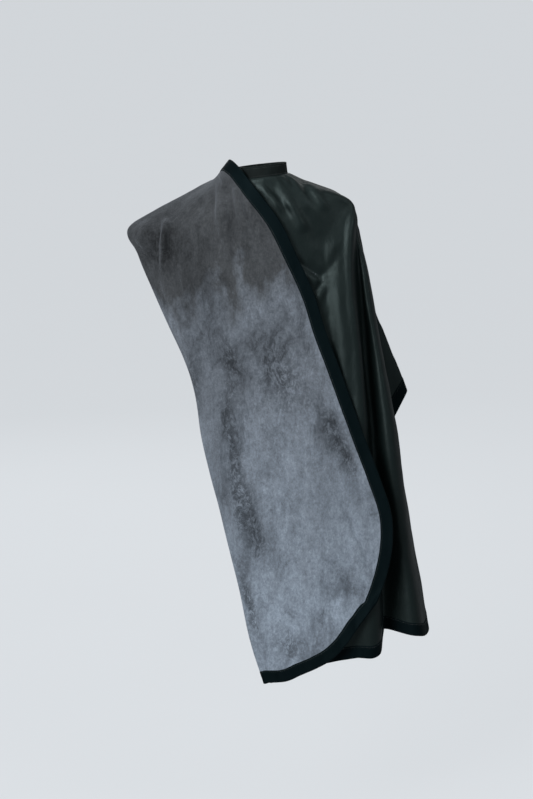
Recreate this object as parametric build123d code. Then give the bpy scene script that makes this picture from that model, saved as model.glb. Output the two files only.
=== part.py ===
from build123d import *
import math
import os

import numpy as np

# Barber cape that closes at the back of the neck, hung as on a shoulder form.
# The wearer's right back panel is turned over the shoulder on to the front, lining outward.
# Frame: +Z up, -Y is the wearer's front, +X is the wearer's left, origin at the centre of the
# neck opening, half way up the neckband. All sizes in millimetres, all angles in degrees.

# ---------------------------------------------------------------- cloth dimensions
SHELL_T = 1.2             # outer cloth
LINING_T = 2.4            # plush lining with its pile
CLOTH_GAP = 1.2           # air between shell and lining
SHELL_OFF = 0.25          # from the cloth's middle surface to the shell
BINDING_W = 26.0          # finished width of the folded binding tape
BINDING_OVER = 0.5        # how far the binding stands proud of each cloth
SEAM_GAP = 4.5            # between a cloth's edge and the binding's inner edge
HINGE_GAP = 10.0          # free cloth each side of a fold line
SHEET_INSET = BINDING_W + SEAM_GAP      # from a bound edge to the cloth inside the binding
FOLD_TOP = np.array((-46.0, -104.0, 22.0))          # fold line of the turned panel
FOLD_BOTTOM = np.array((38.0, -190.0, -1106.0))
FRONT, BACK = (0, -1, 0), (0, 1, 0)

# ---------------------------------------------------------------- neckband dimensions
NECK_R = 52.0             # inside radius of the closed neckband
TAB_IN_R = 57.5           # inside radius of the closing tab, clear of the snap sockets
BAND_H = 26.0             # height of the neckband and the tab
INTERFACING_H = BAND_H - 3
BAND_LINING_T = 1.0       # layers of the band and the tab, inside to outside
BAND_CORE_T = 0.8
BAND_OUTER_T = 1.2
LAYER_GAP = 0.2           # air between two layers
BAND_AXIS = (-0.117, 0.082, 1.0)        # neckband axis, tilted a little
# Places round the neck are measured from +X towards +Y.
BAND_START_DEG = 96.0     # the band's wearer's-right end
BAND_END_DEG = 445.0      # the band's wearer's-left end
TAB_START_DEG = 88.0      # near the band's wearer's-left end
TAB_END_DEG = 146.0       # free end of the tab
SNAP_DEGS = [108.0 + 12.0 * i for i in range(6)]     # snap sockets
STUD_DEGS = SNAP_DEGS[1:3]                           # studs in the closing tab
CAP_R = 5.0
SOCKET_R = 3.6
SOCKET_BORE_R = 2.05
POST_R = 1.9
POST_HOLE_R = POST_R + 0.1
STUD_R = POST_R - 0.1

# ---------------------------------------------------------------- cloth surfaces
# Each net is a list of lines of (x, y, z) points on the cloth's middle surface, top to hem.
# MAIN_NET: lines from the turned side round the front to the back.
MAIN_NET = [
    [(-9.3, 53.4, -20.6), (-52.1, 57.3, -49.1), (-112, 38.5, -35.8), (-174.4, 26.3, -65.5),
     (-234.3, 15.8, -97.5), (-285, 5.1, -132.3), (-262.5, -3.1, -195.6), (-234.6, -10.7, -257.8),
     (-206.1, -19, -320.4), (-176.9, -27.8, -382.8), (-149.7, -37.2, -446),
     (-136.9, -47.9, -513.4), (-127, -58.5, -581.2), (-110.1, -69.2, -647.7),
     (-90.6, -80.8, -713.3), (-74.1, -92.5, -779.6), (-57.6, -104.7, -846),
     (-41.4, -117.4, -912.3), (-28.3, -130.7, -979.2), (-11.8, -143.3, -1045.4),
     (11.2, -154.4, -1109.9)],
    [(-49, 17.4, -21.8), (-106.5, 12, -44.3), (-158.2, 6.2, -76.8), (-207.5, -13, -109.1),
     (-233, -36, -153.6), (-207.9, -40.3, -209.5), (-182.4, -45.2, -265.2), (-158.1, -52, -321.6),
     (-135.1, -59, -378.8), (-114.3, -66.4, -436.8), (-97.4, -73.9, -496.1),
     (-87.9, -81.8, -556.9), (-78.4, -89.9, -617.8), (-63.8, -98.1, -677.6),
     (-48.7, -106.5, -737.2), (-34.6, -115, -797), (-21, -123.7, -857), (-8.2, -133.1, -917),
     (4.8, -142.4, -977), (19.5, -151.2, -1036.7), (34.7, -159.9, -1096.2)],
    [(-49.4, -19.8, -18.8), (-91.1, -35, -54.2), (-127.6, -50.5, -94.8), (-147.9, -64, -144.6),
     (-131.9, -70.3, -198.4), (-111, -75.4, -250.9), (-92.2, -81.3, -304.2), (-73.3, -87, -357.5),
     (-56.1, -92.5, -411.3), (-40.8, -98, -465.7), (-30.9, -103.6, -521.3),
     (-24.7, -109.4, -577.5), (-15.2, -115.2, -633.2), (-3.2, -121.1, -688.4),
     (8.5, -127, -743.7), (19.8, -133, -799), (30.9, -139.1, -854.3), (41.9, -145.4, -909.7),
     (52.8, -151.7, -965.1), (63.5, -157.9, -1020.5), (74.1, -164, -1076)],
    [(-29.8, -45.7, -14.4), (-52.4, -59.5, -61), (-59.4, -75.5, -111.9), (-55.3, -87.6, -164.1),
     (-42, -92, -216.3), (-28.1, -97.1, -268.2), (-12.7, -102.4, -319.7), (1.7, -107.3, -371.5),
     (15.2, -111.7, -423.6), (26.5, -116, -476.3), (33, -120.5, -529.7), (38.1, -125.1, -583.3),
     (46.2, -129.6, -636.5), (55.7, -134.1, -689.5), (64.9, -138.6, -742.5),
     (74.1, -143.1, -795.5), (83.5, -147.7, -848.5), (93, -152.3, -901.5), (102, -156.8, -954.5),
     (110, -161.4, -1007.7), (117.8, -166, -1061)],
    [(-0.7, -55.5, -10.2), (4.6, -70.6, -60.9), (20.4, -80.8, -110.4), (34.2, -88.2, -161.1),
     (39.8, -94.4, -213.6), (48.6, -100.3, -265.7), (60.5, -105.7, -317.3), (71.8, -110.6, -369),
     (82.2, -114.9, -421), (90.8, -119, -473.4), (95.9, -123.3, -526.2), (99.9, -127.6, -579),
     (106.1, -131.8, -631.7), (113.3, -136, -684.2), (120.6, -140.2, -736.8),
     (128.3, -144.4, -789.2), (136.2, -148.6, -841.7), (144.5, -152.8, -894.1),
     (152, -156.9, -946.6), (158.1, -161.1, -999.3), (163.8, -165.3, -1052)],
    [(28.3, -48.2, -7.4), (58.8, -64.3, -48.5), (91.4, -65.8, -91.2), (112, -65.9, -140.8),
     (116.2, -75.3, -193.6), (118.8, -85.2, -246.5), (127.2, -92, -299.3), (136.1, -97.9, -352.2),
     (143.8, -103.6, -405.3), (150.4, -108.9, -458.5), (154.8, -114, -512.1),
     (157.9, -118.8, -565.7), (162.2, -123.4, -619.3), (167.4, -127.8, -672.8),
     (173.1, -132.1, -726.2), (179.4, -136.2, -779.7), (186, -140.3, -833),
     (193.3, -144.3, -886.3), (199.7, -148.3, -939.7), (204.2, -152.1, -993.4),
     (208.4, -155.9, -1047)],
    [(47.3, -30, -6.7), (100.3, -38.9, -27.6), (153.8, -29.7, -46.1), (194.2, -18.7, -76.4),
     (189, -44.3, -127.7), (187.3, -56, -184.2), (192.2, -68.2, -240.5), (198.1, -77.7, -297.2),
     (204.3, -84.7, -354.2), (209.2, -91.9, -411.3), (212.9, -99, -468.6), (215.4, -105.4, -526),
     (217.8, -111.1, -583.4), (220.8, -116.2, -640.9), (224.7, -120.9, -698.4),
     (229.6, -125.2, -755.8), (235, -129.4, -813.2), (241.2, -133.5, -870.5),
     (247.3, -137.5, -927.9), (252, -141.1, -985.4), (253.5, -144.6, -1043)],
    [(53, -18, -7), (105.8, -19.7, -22.4), (156.7, -13.5, -42.4), (196.3, -3.9, -76.2),
     (200.5, -10.4, -130.6), (207.8, -18, -184.7), (214, -24.1, -239.1), (219.5, -29.6, -293.6),
     (224.4, -35, -348.3), (228.7, -39.7, -403), (232, -43.5, -457.8), (235.4, -47.1, -512.7),
     (239, -50.7, -567.6), (242.8, -53.9, -622.5), (246.9, -56.5, -677.3), (251.2, -58.8, -732.2),
     (255.8, -60.9, -787.1), (260.7, -62.8, -841.9), (264.9, -64.7, -896.8),
     (268.2, -66.3, -951.8), (271.3, -68, -1006.8)],
    [(55.2, -8.7, -7.5), (109.4, -7.6, -21.4), (160.9, -3, -42.3), (199.2, 3.1, -79.6),
     (204.7, -2.2, -134.9), (216.8, -12, -188.6), (226.2, -22.6, -242.7), (234.2, -33.2, -297.1),
     (243.3, -42.2, -351.5), (253.4, -49.7, -406.1), (263.1, -56.5, -460.7),
     (271.6, -62.9, -515.6), (279.1, -68.8, -570.8), (286.4, -74.2, -626), (293.7, -79, -681.2),
     (300.8, -83.3, -736.5), (308.1, -87.3, -791.9), (316, -91.2, -847.1), (324.4, -95.1, -902.3),
     (331.2, -98.7, -957.7), (337, -102, -1013.2)],
    [(55.8, 0.7, -8.2), (110.4, 4.3, -21.7), (162.5, 6.7, -42.9), (199.7, 12.8, -81.5),
     (207.2, 13.1, -137.3), (219.4, 13, -192.4), (232.9, 12.2, -247.2), (245.3, 8, -302),
     (253.5, 4.4, -357.7), (263.2, 1, -413.2), (274.5, -2.8, -468.3), (283.4, -6.4, -523.9),
     (295.7, -9.8, -578.8), (306.1, -13.6, -634.1), (316.5, -17, -689.4), (327.5, -20, -744.7),
     (336.3, -23.4, -800.3), (345.1, -26.9, -855.9), (356.2, -30.1, -911.2),
     (364.2, -33.3, -966.9), (371.2, -37, -1022.8)],
    [(54.7, 10.1, -9.1), (104.2, 15.3, -21.2), (151.9, 15.5, -39.7), (193.4, 22.7, -67.5),
     (201.6, 31.9, -116.8), (208.8, 39, -167.1), (215.7, 43.8, -217.6), (221.3, 46.3, -268.5),
     (226.7, 47, -319.5), (233.5, 46.6, -370.3), (241.2, 45.1, -420.9), (249.7, 43.1, -471.5),
     (259, 40.6, -521.8), (268.4, 37.9, -572.1), (277.6, 35.4, -622.5), (286.9, 32.9, -672.8),
     (296.2, 30.4, -723.2), (305.6, 28, -773.5), (314.3, 25.1, -823.9), (322.3, 21.6, -874.5),
     (330, 18, -925)],
    [(52.1, 19.2, -10.1), (91.7, 24.7, -20.9), (130.7, 25.5, -34.9), (168, 29.3, -52.5),
     (194.9, 37, -81.4), (197.3, 46.2, -121.7), (200.2, 54.2, -162.2), (203.4, 60.9, -203),
     (206.3, 66.5, -244), (208.7, 71, -285.1), (210.8, 74.4, -326.4), (212.9, 77, -367.7),
     (214.9, 78.8, -409.1), (217, 79.7, -450.5), (219.2, 80.1, -491.9), (221.7, 79.5, -533.3),
     (224.3, 78.6, -574.6), (227.1, 77.6, -616), (230, 76.5, -657.3), (233, 75.2, -698.7),
     (236, 74, -740)],
    [(46.8, 29.2, -11.6), (75.3, 34, -21.5), (103.8, 36.8, -32.4), (131.7, 37.6, -44.7),
     (157.8, 41.7, -60), (181, 47.7, -78.9), (198.6, 54.6, -102.9), (211.1, 61, -130),
     (217.5, 65.1, -159.5), (222.6, 68.7, -189.4), (228.6, 72.4, -219.2), (234.9, 75.7, -248.9),
     (241.6, 78.5, -278.6), (250.1, 81.6, -307.8), (260.9, 85, -336.2), (274.8, 89.2, -363.1),
     (285.7, 93, -391.4), (294.7, 96.8, -420.3), (304.6, 100.9, -449), (314.3, 105.3, -477.6),
     (323.3, 110, -506.5)],
    [(39.7, 37.9, -13.1), (61.1, 53, -32.2), (83.4, 66, -51.8), (106.8, 76.4, -71.8),
     (127.8, 85.7, -94.6), (146.5, 93.9, -119.9), (163.1, 101.2, -146.7), (177.4, 107.6, -175.1),
     (189.3, 112.9, -204.9), (199.9, 117.7, -235.2), (210.3, 122.3, -265.5), (220, 126.4, -296.2),
     (229, 130.1, -327.2), (237.5, 133.8, -358.3), (245.7, 137.5, -389.5), (253.3, 141.2, -420.8),
     (260.3, 144.4, -452.3), (266.7, 147, -484), (272.1, 148.9, -515.9), (277, 150.4, -548),
     (282, 152, -580)],
    [(29.2, 45.9, -15), (32.2, 53.9, -49.8), (34.1, 60.2, -85), (36, 66.1, -120.3),
     (41.3, 74.7, -154.6), (48.9, 84.4, -188.2), (58.5, 92.5, -221.8), (70.6, 98.6, -255),
     (82.9, 104.4, -288.1), (94.9, 110.5, -321.3), (106.9, 116.6, -354.5), (118.9, 122.7, -387.7),
     (131, 128.8, -420.9), (143, 134.9, -454.1), (155, 141, -487.3), (167, 147.1, -520.5),
     (179, 153.1, -553.7), (191, 159.2, -586.9), (203, 165.3, -620.1), (215, 171.4, -653.3),
     (227, 177.5, -686.5)],
]
# TURNED_NET: lines from the turned panel's crease to its free edge.
TURNED_NET = [
    [(-12.4, 60.6, -52.5), (-49.4, 56.7, -55.4), (-75.6, 48.1, -46.5), (-89.1, 41.4, -31.9),
     (-100.4, 35.8, -21.4), (-127.8, 30.1, -26.2), (-172.8, 23.6, -46.9), (-234, 11.2, -80.4),
     (-292.6, -1.8, -123.9), (-272.5, -10.5, -186.6), (-245.2, -18.2, -250.5),
     (-208.9, -28.6, -330.8), (-171.6, -40.2, -410.6), (-146.3, -52.7, -490.4),
     (-134.5, -65.6, -570.2), (-115.6, -78.7, -650.1), (-92.5, -93, -730), (-71, -108.5, -814.9),
     (-47.6, -126, -904.7), (-25.9, -145.3, -999.3), (12.6, -165.3, -1101.2)],
    [(-12.6, 62.6, -50.6), (-49.6, 58.5, -53.2), (-74.9, 49.2, -43.8), (-88, 41.4, -28.8),
     (-98.6, 34.2, -18.6), (-123.3, 24.6, -26), (-166.6, 13.5, -48.3), (-222.9, -1.9, -84.1),
     (-274.3, -16, -123), (-253.2, -25.6, -186.1), (-225.7, -33.9, -250.3),
     (-190.2, -44.2, -330.5), (-153.5, -55.7, -410.4), (-128.1, -68.1, -490.2),
     (-115, -81.1, -570.1), (-95.3, -94.1, -650), (-71.8, -107.9, -729.9),
     (-50.8, -121.9, -813.6), (-28.8, -137.2, -901.5), (-8.4, -153.8, -993.1),
     (33.5, -169.4, -1099)],
    [(-12.8, 64, -48.8), (-49.9, 59.9, -51.1), (-74.2, 49.8, -41.4), (-87, 40.9, -25.9),
     (-97.1, 32, -16), (-119.2, 18.6, -25.6), (-160.6, 3.1, -49.2), (-211.1, -14.7, -86.9),
     (-255.4, -29.4, -121.7), (-233.1, -39.8, -185.6), (-205.4, -48.6, -250.2),
     (-170.8, -58.9, -330.2), (-134.6, -70.2, -410.2), (-108.8, -82.4, -490.1),
     (-94.4, -95.4, -570.1), (-73.7, -108, -650), (-49.7, -121.1, -729.8),
     (-29.4, -133.4, -812.2), (-8.8, -146.3, -897.9), (10.1, -160.2, -986.3),
     (53.7, -174.1, -1094.5)],
    [(-13, 65.2, -46.2), (-50.1, 60.9, -48.3), (-73, 49.8, -38.3), (-85.6, 39.4, -22.1),
     (-95.2, 27.7, -12.5), (-113, 9.2, -24.2), (-149.3, -11.1, -49), (-189.4, -29.6, -86.8),
     (-224, -44.5, -119), (-199.6, -56, -184.6), (-171.3, -65.2, -250), (-137.8, -75.3, -330),
     (-102.2, -86.1, -410), (-75.8, -97.4, -490), (-59.2, -109.3, -570), (-37, -120.8, -650),
     (-12.4, -132.2, -729.6), (6.4, -142.1, -809.7), (24.2, -152, -892), (39.7, -162.2, -975.2),
     (81.7, -176.4, -1081.5)],
    [(-13, 65.2, -42.8), (-50.1, 60.6, -44.9), (-71.3, 48.3, -34.9), (-83.4, 35.9, -18),
     (-92.6, 20.7, -7.9), (-103.6, -3.1, -21.4), (-130.3, -26.1, -45.9), (-157.9, -44.2, -82.1),
     (-180.6, -60.2, -114.6), (-153.5, -73, -183), (-124.3, -83.1, -250), (-92.3, -93.1, -330),
     (-57.6, -103.3, -410), (-30.5, -113.8, -490), (-11.3, -124.7, -570), (12.6, -134.9, -650),
     (37.7, -144.3, -729.3), (54.1, -152, -806.3), (67.9, -159.1, -883.9), (78.8, -166.1, -960.2),
     (118.6, -179.6, -1064.2)],
    [(-13, 65, -39.5), (-50, 59.9, -41.7), (-69.2, 46.2, -32), (-80.6, 32.4, -14.4),
     (-88.9, 14.6, -2.5), (-92.8, -14.3, -18.1), (-109.5, -38.3, -41.9), (-126.5, -58.8, -77.3),
     (-136.1, -71.8, -109.9), (-106, -85.8, -181.3), (-76, -96.4, -250), (-45.3, -106.4, -330),
     (-11.5, -116, -410), (16.1, -125.6, -490), (37.7, -135, -570), (63.3, -143.4, -650),
     (88.7, -150.7, -729), (102.5, -156.7, -802.9), (111.9, -162.4, -875.6), (118, -167.9, -945.1),
     (152.6, -183, -1041.9)],
    [(-13, 64.7, -36.2), (-49.6, 59, -38.5), (-66.9, 43.9, -29.7), (-77.3, 29, -11.2),
     (-84.1, 10.3, 3.6), (-81.5, -23.9, -12.5), (-87.4, -48.1, -38.3), (-94.5, -72, -71.7),
     (-91.2, -82.2, -105.2), (-58.1, -96.7, -179.7), (-27, -107.2, -250), (2.5, -116.4, -330),
     (35.4, -124.6, -410), (63.8, -131.8, -490), (87.7, -138, -570), (114.7, -143.4, -650),
     (140, -148.1, -728.8), (151.1, -153.5, -799.4), (155.9, -159.6, -867.4), (157.2, -165.7, -930),
     (181.2, -178.5, -1013.1)],
    [(-13, 64.4, -32.8), (-49, 57.9, -35.4), (-64.4, 41.4, -27.6), (-73.5, 25.7, -8.2),
     (-78.6, 7.2, 9.9), (-70, -30.7, -3.9), (-64.7, -55.3, -33), (-61.8, -78.9, -61.9),
     (-45.7, -88.9, -100.4), (-9.2, -101.7, -178), (23, -110.3, -250), (51.2, -118.2, -330),
     (83.1, -124.3, -410), (111.7, -129.3, -490), (137.6, -133.3, -570), (165.6, -136.5, -650),
     (190.8, -139.9, -728.5), (199, -144.8, -796), (199.2, -150.8, -859.3), (195.6, -157.2, -915.2),
     (204.8, -173.9, -979.9)],
    [(-13, 64.3, -30.3), (-48.6, 57.1, -33.1), (-62.5, 39.5, -26.1), (-70.7, 23.3, -6),
     (-74.4, 5.1, 14.7), (-61.4, -34.6, 3.4), (-48.3, -58.8, -25.6), (-37.2, -80, -52.7),
     (-11.3, -91, -96.8), (27.7, -101, -176.7), (60.6, -108, -250), (87.6, -115, -330),
     (118.7, -119.9, -410), (147.4, -124, -490), (174.8, -127.5, -570), (203.7, -130.8, -650),
     (229, -134.4, -728.3), (235, -139.2, -793.5), (231.7, -144.8, -853.2), (224.4, -150.9, -904.1),
     (222.8, -170.5, -955.3)],
    [(-13, 64.1, -28.7), (-48.3, 56.5, -31.6), (-61.2, 38.2, -25.1), (-68.8, 21.7, -4.5),
     (-71.7, 3.6, 17.8), (-55.7, -37.2, 8.3), (-37.6, -60.4, -19.8), (-20.6, -78.9, -47.3),
     (11.7, -90.2, -94.4), (52, -97.7, -175.8), (85.4, -104.2, -250), (111.7, -111.1, -330),
     (142.3, -116, -410), (171.1, -120.3, -490), (199.7, -124.6, -570), (229.4, -129.7, -650),
     (254.7, -134.5, -728.1), (259.3, -139.1, -791.7), (253.8, -144, -849.1),
     (243.9, -148.6, -896.5), (234.8, -168.3, -938.9)],
    [(-13, 64, -27), (-48, 56, -30), (-60, 37, -24), (-67, 20, -3), (-69, 2, 21), (-50, -40, 13),
     (-27, -62, -14), (-4, -77, -42), (34.7, -88.9, -92), (76.3, -93.6, -175),
     (110.1, -99.8, -250), (135.7, -106.7, -330), (165.8, -111.7, -410), (194.9, -116.4, -490),
     (224.6, -121.8, -570), (255.2, -129, -650), (280.4, -135.2, -728), (283.7, -139.8, -790),
     (275.9, -143.6, -845), (263.4, -146.7, -889), (246.9, -166, -922.5)],
]
# Where each line of TURNED_NET lies, from the crease (0) to the free edge (1).
TURNED_STATIONS = [0.00000, 0.06667, 0.13333, 0.23333, 0.36667, 0.50000,
                   0.63333, 0.76667, 0.86667, 0.93333, 1.00000]
# BACK_NET: lines from the left back panel's fold line to the back opening.
BACK_NET = [
    [(15.3, 69.2, -129.3), (29.9, 76.6, -169.8), (50.8, 87.2, -227.6), (71.7, 97.8, -285.4),
     (92.6, 108.4, -343.2), (113.5, 119, -401), (134.4, 129.6, -458.8), (155.3, 140.2, -516.6),
     (176.2, 150.8, -574.4), (197.1, 161.4, -632.2), (218, 172, -690)],
    [(14, 69.5, -130.3), (25.7, 80.1, -173.1), (42.3, 90.8, -234.1), (59, 101.6, -295),
     (75.8, 112.2, -355.9), (92.6, 122.5, -416.7), (109.4, 132.5, -477.4), (126.2, 142.3, -538.2),
     (143, 151.7, -598.9), (160, 161.1, -659.6), (186.8, 177.7, -741.4)],
    [(12.7, 69.8, -131.2), (21.2, 82.7, -176.6), (33.5, 93.7, -240.7), (46.1, 104.6, -304.7),
     (58.8, 115.2, -368.6), (71.5, 125.2, -432.4), (84.3, 134.8, -496.1), (97.1, 143.8, -559.7),
     (109.8, 152.3, -623.3), (122.9, 160.4, -686.9), (152.9, 180.9, -791.4)],
    [(11.4, 69.6, -132.2), (16.2, 83, -180.3), (24.4, 94.5, -247.4), (33, 105.6, -314.4),
     (41.6, 116.2, -381.3), (50.4, 126.2, -448), (59.2, 135.6, -514.7), (68, 144.1, -581.2),
     (76.5, 151.8, -647.8), (85.8, 159.1, -714.2), (114.8, 180, -838.2)],
    [(10.2, 69, -133.1), (12.4, 78.7, -182.7), (16.3, 89, -252.9), (20.6, 99.2, -322.9),
     (25.2, 109.2, -392.8), (29.8, 118.9, -462.6), (34.5, 128.3, -532.3), (39.2, 137, -601.9),
     (43.5, 145.1, -671.4), (48.9, 152.8, -741), (71, 173.3, -878.5)],
    [(9, 68.4, -134), (9, 73.8, -184.8), (9, 81.7, -257.6), (9.3, 90, -330.4), (9.8, 98.6, -403.2),
     (10.2, 107.4, -476), (10.6, 116.4, -548.8), (11, 125.4, -621.6), (11, 134.1, -694.4),
     (12.3, 142.9, -767.2), (16, 154, -868)],
]


# ---------------------------------------------------------------- surface tools
def unit(vectors):
    return vectors / np.linalg.norm(vectors, axis=-1, keepdims=True)


def spline(points, knots, reads):
    """Smooth curve (or sheet) through the rows of points at knots, read at reads."""
    column = (-1,) + (1,) * (points.ndim - 1)
    ahead = (knots[2:] - knots[1:-1]).reshape(column)
    behind = (knots[1:-1] - knots[:-2]).reshape(column)
    slope = np.zeros_like(points)
    slope[1:-1] = ((points[2:] - points[1:-1]) / ahead * behind
                   + (points[1:-1] - points[:-2]) / behind * ahead) / (ahead + behind)
    slope[0] = (points[1] - points[0]) / (knots[1] - knots[0])
    slope[-1] = (points[-1] - points[-2]) / (knots[-1] - knots[-2])
    k = np.clip(np.searchsorted(knots, reads, side="right") - 1, 0, len(knots) - 2)
    span = knots[k + 1] - knots[k]
    t = ((reads - knots[k]) / span).reshape(column)
    span = span.reshape(column)
    return ((1 + 2 * t) * (1 - t) ** 2 * points[k] + t * (1 - t) ** 2 * span * slope[k]
            + t * t * (3 - 2 * t) * points[k + 1] + t * t * (t - 1) * span * slope[k + 1])


def net_stations(net, axis):
    """Stations from 0 to 1, spaced by the net's mean spacing along axis."""
    steps = np.linalg.norm(np.diff(net, axis=axis), axis=2).mean(axis=1 - axis)
    total = np.r_[0, np.cumsum(steps)]
    return total / total[-1]


class Cloth:
    """A surface through a net, read at (across, down): line to line and top to hem, 0 to 1."""

    SAMPLES = 161
    STEP = 0.01           # for slopes

    def __init__(self, net, stations=None):
        net = np.asarray(net, float)
        across = net_stations(net, 0) if stations is None else np.asarray(stations, float)
        reads = np.linspace(0, 1, self.SAMPLES)
        lines = np.transpose(spline(net, across, reads), (1, 0, 2))
        self.grid = np.transpose(spline(lines, net_stations(net, 1), reads), (1, 0, 2))

    def at(self, across, down):
        """Points on the surface, read in straight lines between samples."""
        across, down = np.broadcast_arrays(np.asarray(across, float), np.asarray(down, float))
        last = self.SAMPLES - 1
        row = np.clip(across, 0, 1) * last
        col = np.clip(down, 0, 1) * last
        i = np.minimum(row.astype(int), last - 1)
        j = np.minimum(col.astype(int), last - 1)
        x = (row - i)[..., None]
        y = (col - j)[..., None]
        grid = self.grid
        return ((1 - x) * (1 - y) * grid[i, j] + x * (1 - y) * grid[i + 1, j]
                + (1 - x) * y * grid[i, j + 1] + x * y * grid[i + 1, j + 1])

    def slopes(self, across, down):
        """Change of the point with across, and with down."""
        across, down = np.broadcast_arrays(np.asarray(across, float), np.asarray(down, float))
        high, low = np.minimum(across + self.STEP, 1), np.maximum(across - self.STEP, 0)
        by_across = (self.at(high, down) - self.at(low, down)) / (high - low)[..., None]
        high, low = np.minimum(down + self.STEP, 1), np.maximum(down - self.STEP, 0)
        by_down = (self.at(across, high) - self.at(across, low)) / (high - low)[..., None]
        return by_across, by_down

    def inset_across(self, across, down, distance):
        """Step in across that moves distance away from a side edge."""
        a, b = self.slopes(across, down)
        return distance * np.linalg.norm(b, axis=-1) / np.linalg.norm(np.cross(a, b), axis=-1)

    def above_hem(self, across, distance):
        """Values of down that lie distance above the hem."""
        a, b = self.slopes(across, np.full(len(across), 0.999))
        return 1 - distance * np.linalg.norm(a, axis=-1) / np.linalg.norm(np.cross(a, b), axis=-1)

    def side(self, across, outward):
        """1 if the surface's own normal, half way down, points along outward, else -1."""
        a, b = self.slopes(np.array([across]), np.array([0.5]))
        return 1.0 if np.dot(np.cross(a[0], b[0]), outward) > 0 else -1.0


def first_station(stations, found):
    """The first station at which found holds."""
    return float(stations[np.argmax(found)])


def stretch(values, pivot, new_end):
    """Scale values about pivot so that 1 becomes new_end."""
    return pivot + (values - pivot) * (new_end - pivot) / (1 - pivot)


def strip(first, last, axis=0):
    """Grid three points wide between two edges."""
    return np.stack([first, (first + last) / 2, last], axis)


def outer_edge(cloth, down, across):
    """Points down the far side edge, then back along the hem."""
    return np.concatenate([cloth.at(np.ones(len(down)), down),
                           cloth.at(across, np.ones(len(across)))])


# ---------------------------------------------------------------- solid tools
def normals(grid, side):
    """Smoothed outward directions at a grid's points."""
    normal = unit(np.cross(np.gradient(grid, axis=0), np.gradient(grid, axis=1))) * side
    for _ in range(4):
        wide = np.pad(normal, ((1, 1), (1, 1), (0, 0)), mode="edge")
        normal = unit(wide[:-2, 1:-1] + wide[2:, 1:-1] + wide[1:-1, :-2] + wide[1:-1, 2:]
                      + 2 * normal)
    return normal


def faceted(points, triangles):
    """A closed solid with flat three-sided faces."""
    points = np.round(points, 4)

    def build(order):
        return Solid(Shell([
            Face(Wire.make_polygon([Vector(*points[t[k]]) for k in order], close=True))
            for t in triangles]))

    solid = build((0, 1, 2))
    return solid if solid.volume >= 0 else build((0, 2, 1))


def layer(grid, side, span):
    """A cloth layer over the grid; span is its low and high face along the outward normal."""
    normal = normals(grid, side)
    low, high = span
    rows, cols = grid.shape[:2]
    points = np.concatenate([(grid + normal * high).reshape(-1, 3),
                             (grid + normal * low).reshape(-1, 3)])
    under = rows * cols
    triangles = []
    for i in range(rows - 1):
        for j in range(cols - 1):
            a, b = i * cols + j, (i + 1) * cols + j
            c, d = b + 1, a + 1
            triangles += [(a, b, c), (a, c, d),
                          (under + a, under + c, under + b), (under + a, under + d, under + c)]
    rim = ([i * cols for i in range(rows)]
           + [(rows - 1) * cols + j for j in range(1, cols)]
           + [i * cols + cols - 1 for i in range(rows - 2, -1, -1)]
           + [j for j in range(cols - 2, 0, -1)])
    for a, b in zip(rim, rim[1:] + rim[:1]):
        triangles += [(b, a, under + a), (b, under + a, under + b)]
    return faceted(points, triangles)


def save(name, *solids):
    shape = solids[0] if len(solids) == 1 else Compound(children=list(solids))
    shape.label = name
    export_step(shape, os.path.join("parts", name + ".step"))


def flipped(span):
    return (-span[1], -span[0])


# Low and high faces of each layer, from the middle surface outward.
LINING_OFF = CLOTH_GAP - SHELL_OFF
SHELL = (SHELL_OFF, SHELL_OFF + SHELL_T)
LINING = (-LINING_OFF - LINING_T, -LINING_OFF)
BINDING = (LINING[0] - BINDING_OVER, SHELL[1] + BINDING_OVER)


def save_sheets(name, grid, side, shell=SHELL, lining=LINING):
    save(name + "_shell", layer(grid, side, shell))
    save(name + "_lining", layer(grid, side, lining))


os.makedirs("parts", exist_ok=True)
main = Cloth(MAIN_NET)
turned = Cloth(TURNED_NET, TURNED_STATIONS)
back = Cloth(BACK_NET)
MAIN_SIDE = main.side(0.3, FRONT)
TURNED_SIDE = turned.side(0.5, FRONT)
BACK_SIDE = back.side(0.5, BACK)

# ---------------------------------------------------------------- main cloth
# The sheets stop short of the hem; the hem binding fills the rest but for the seam gap.
main_across = np.linspace(0.012, 1, 33)
sheet_end = main.above_hem(main_across, SHEET_INSET)[:, None]
save_sheets("main", main.at(main_across[:, None], sheet_end * np.linspace(0, 1, 15)[None, :]),
            MAIN_SIDE)

hem_top = main.above_hem(main_across, BINDING_W)[:, None]
hem_grid = main.at(main_across[:, None], hem_top + (1 - hem_top) * np.linspace(0, 1, 3)[None, :])
save("main_hem_binding", layer(hem_grid, MAIN_SIDE, BINDING))

# ---------------------------------------------------------------- bound edge below the band's end
fall = np.linspace(0, 1, 6)[:, None]
opening_edge = np.array([8.5, 59.0, -26.0]) * (1 - fall) + np.array([9.0, 65.2, -104.0]) * fall
left_edge = np.array([31.0, 57.5, -31.0]) * (1 - fall) + np.array([33.0, 67.0, -160.0]) * fall
# Side -1 turns this grid's normals to the back.
save("back_opening_binding", layer(strip(opening_edge, left_edge, axis=1), -1.0, BINDING))

# ---------------------------------------------------------------- turned panel: measures
FOLD_NORMAL = unit(np.cross(FOLD_BOTTOM - FOLD_TOP, (0, 1, 0)))
BEHIND_NECK_Y = 3.0


def fold_offset(points):
    """Distance beyond the upright fold plane, towards +X; points behind the neck are fixed."""
    return np.where(points[..., 1] > BEHIND_NECK_Y, -60.0, (points - FOLD_TOP) @ FOLD_NORMAL)


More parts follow.
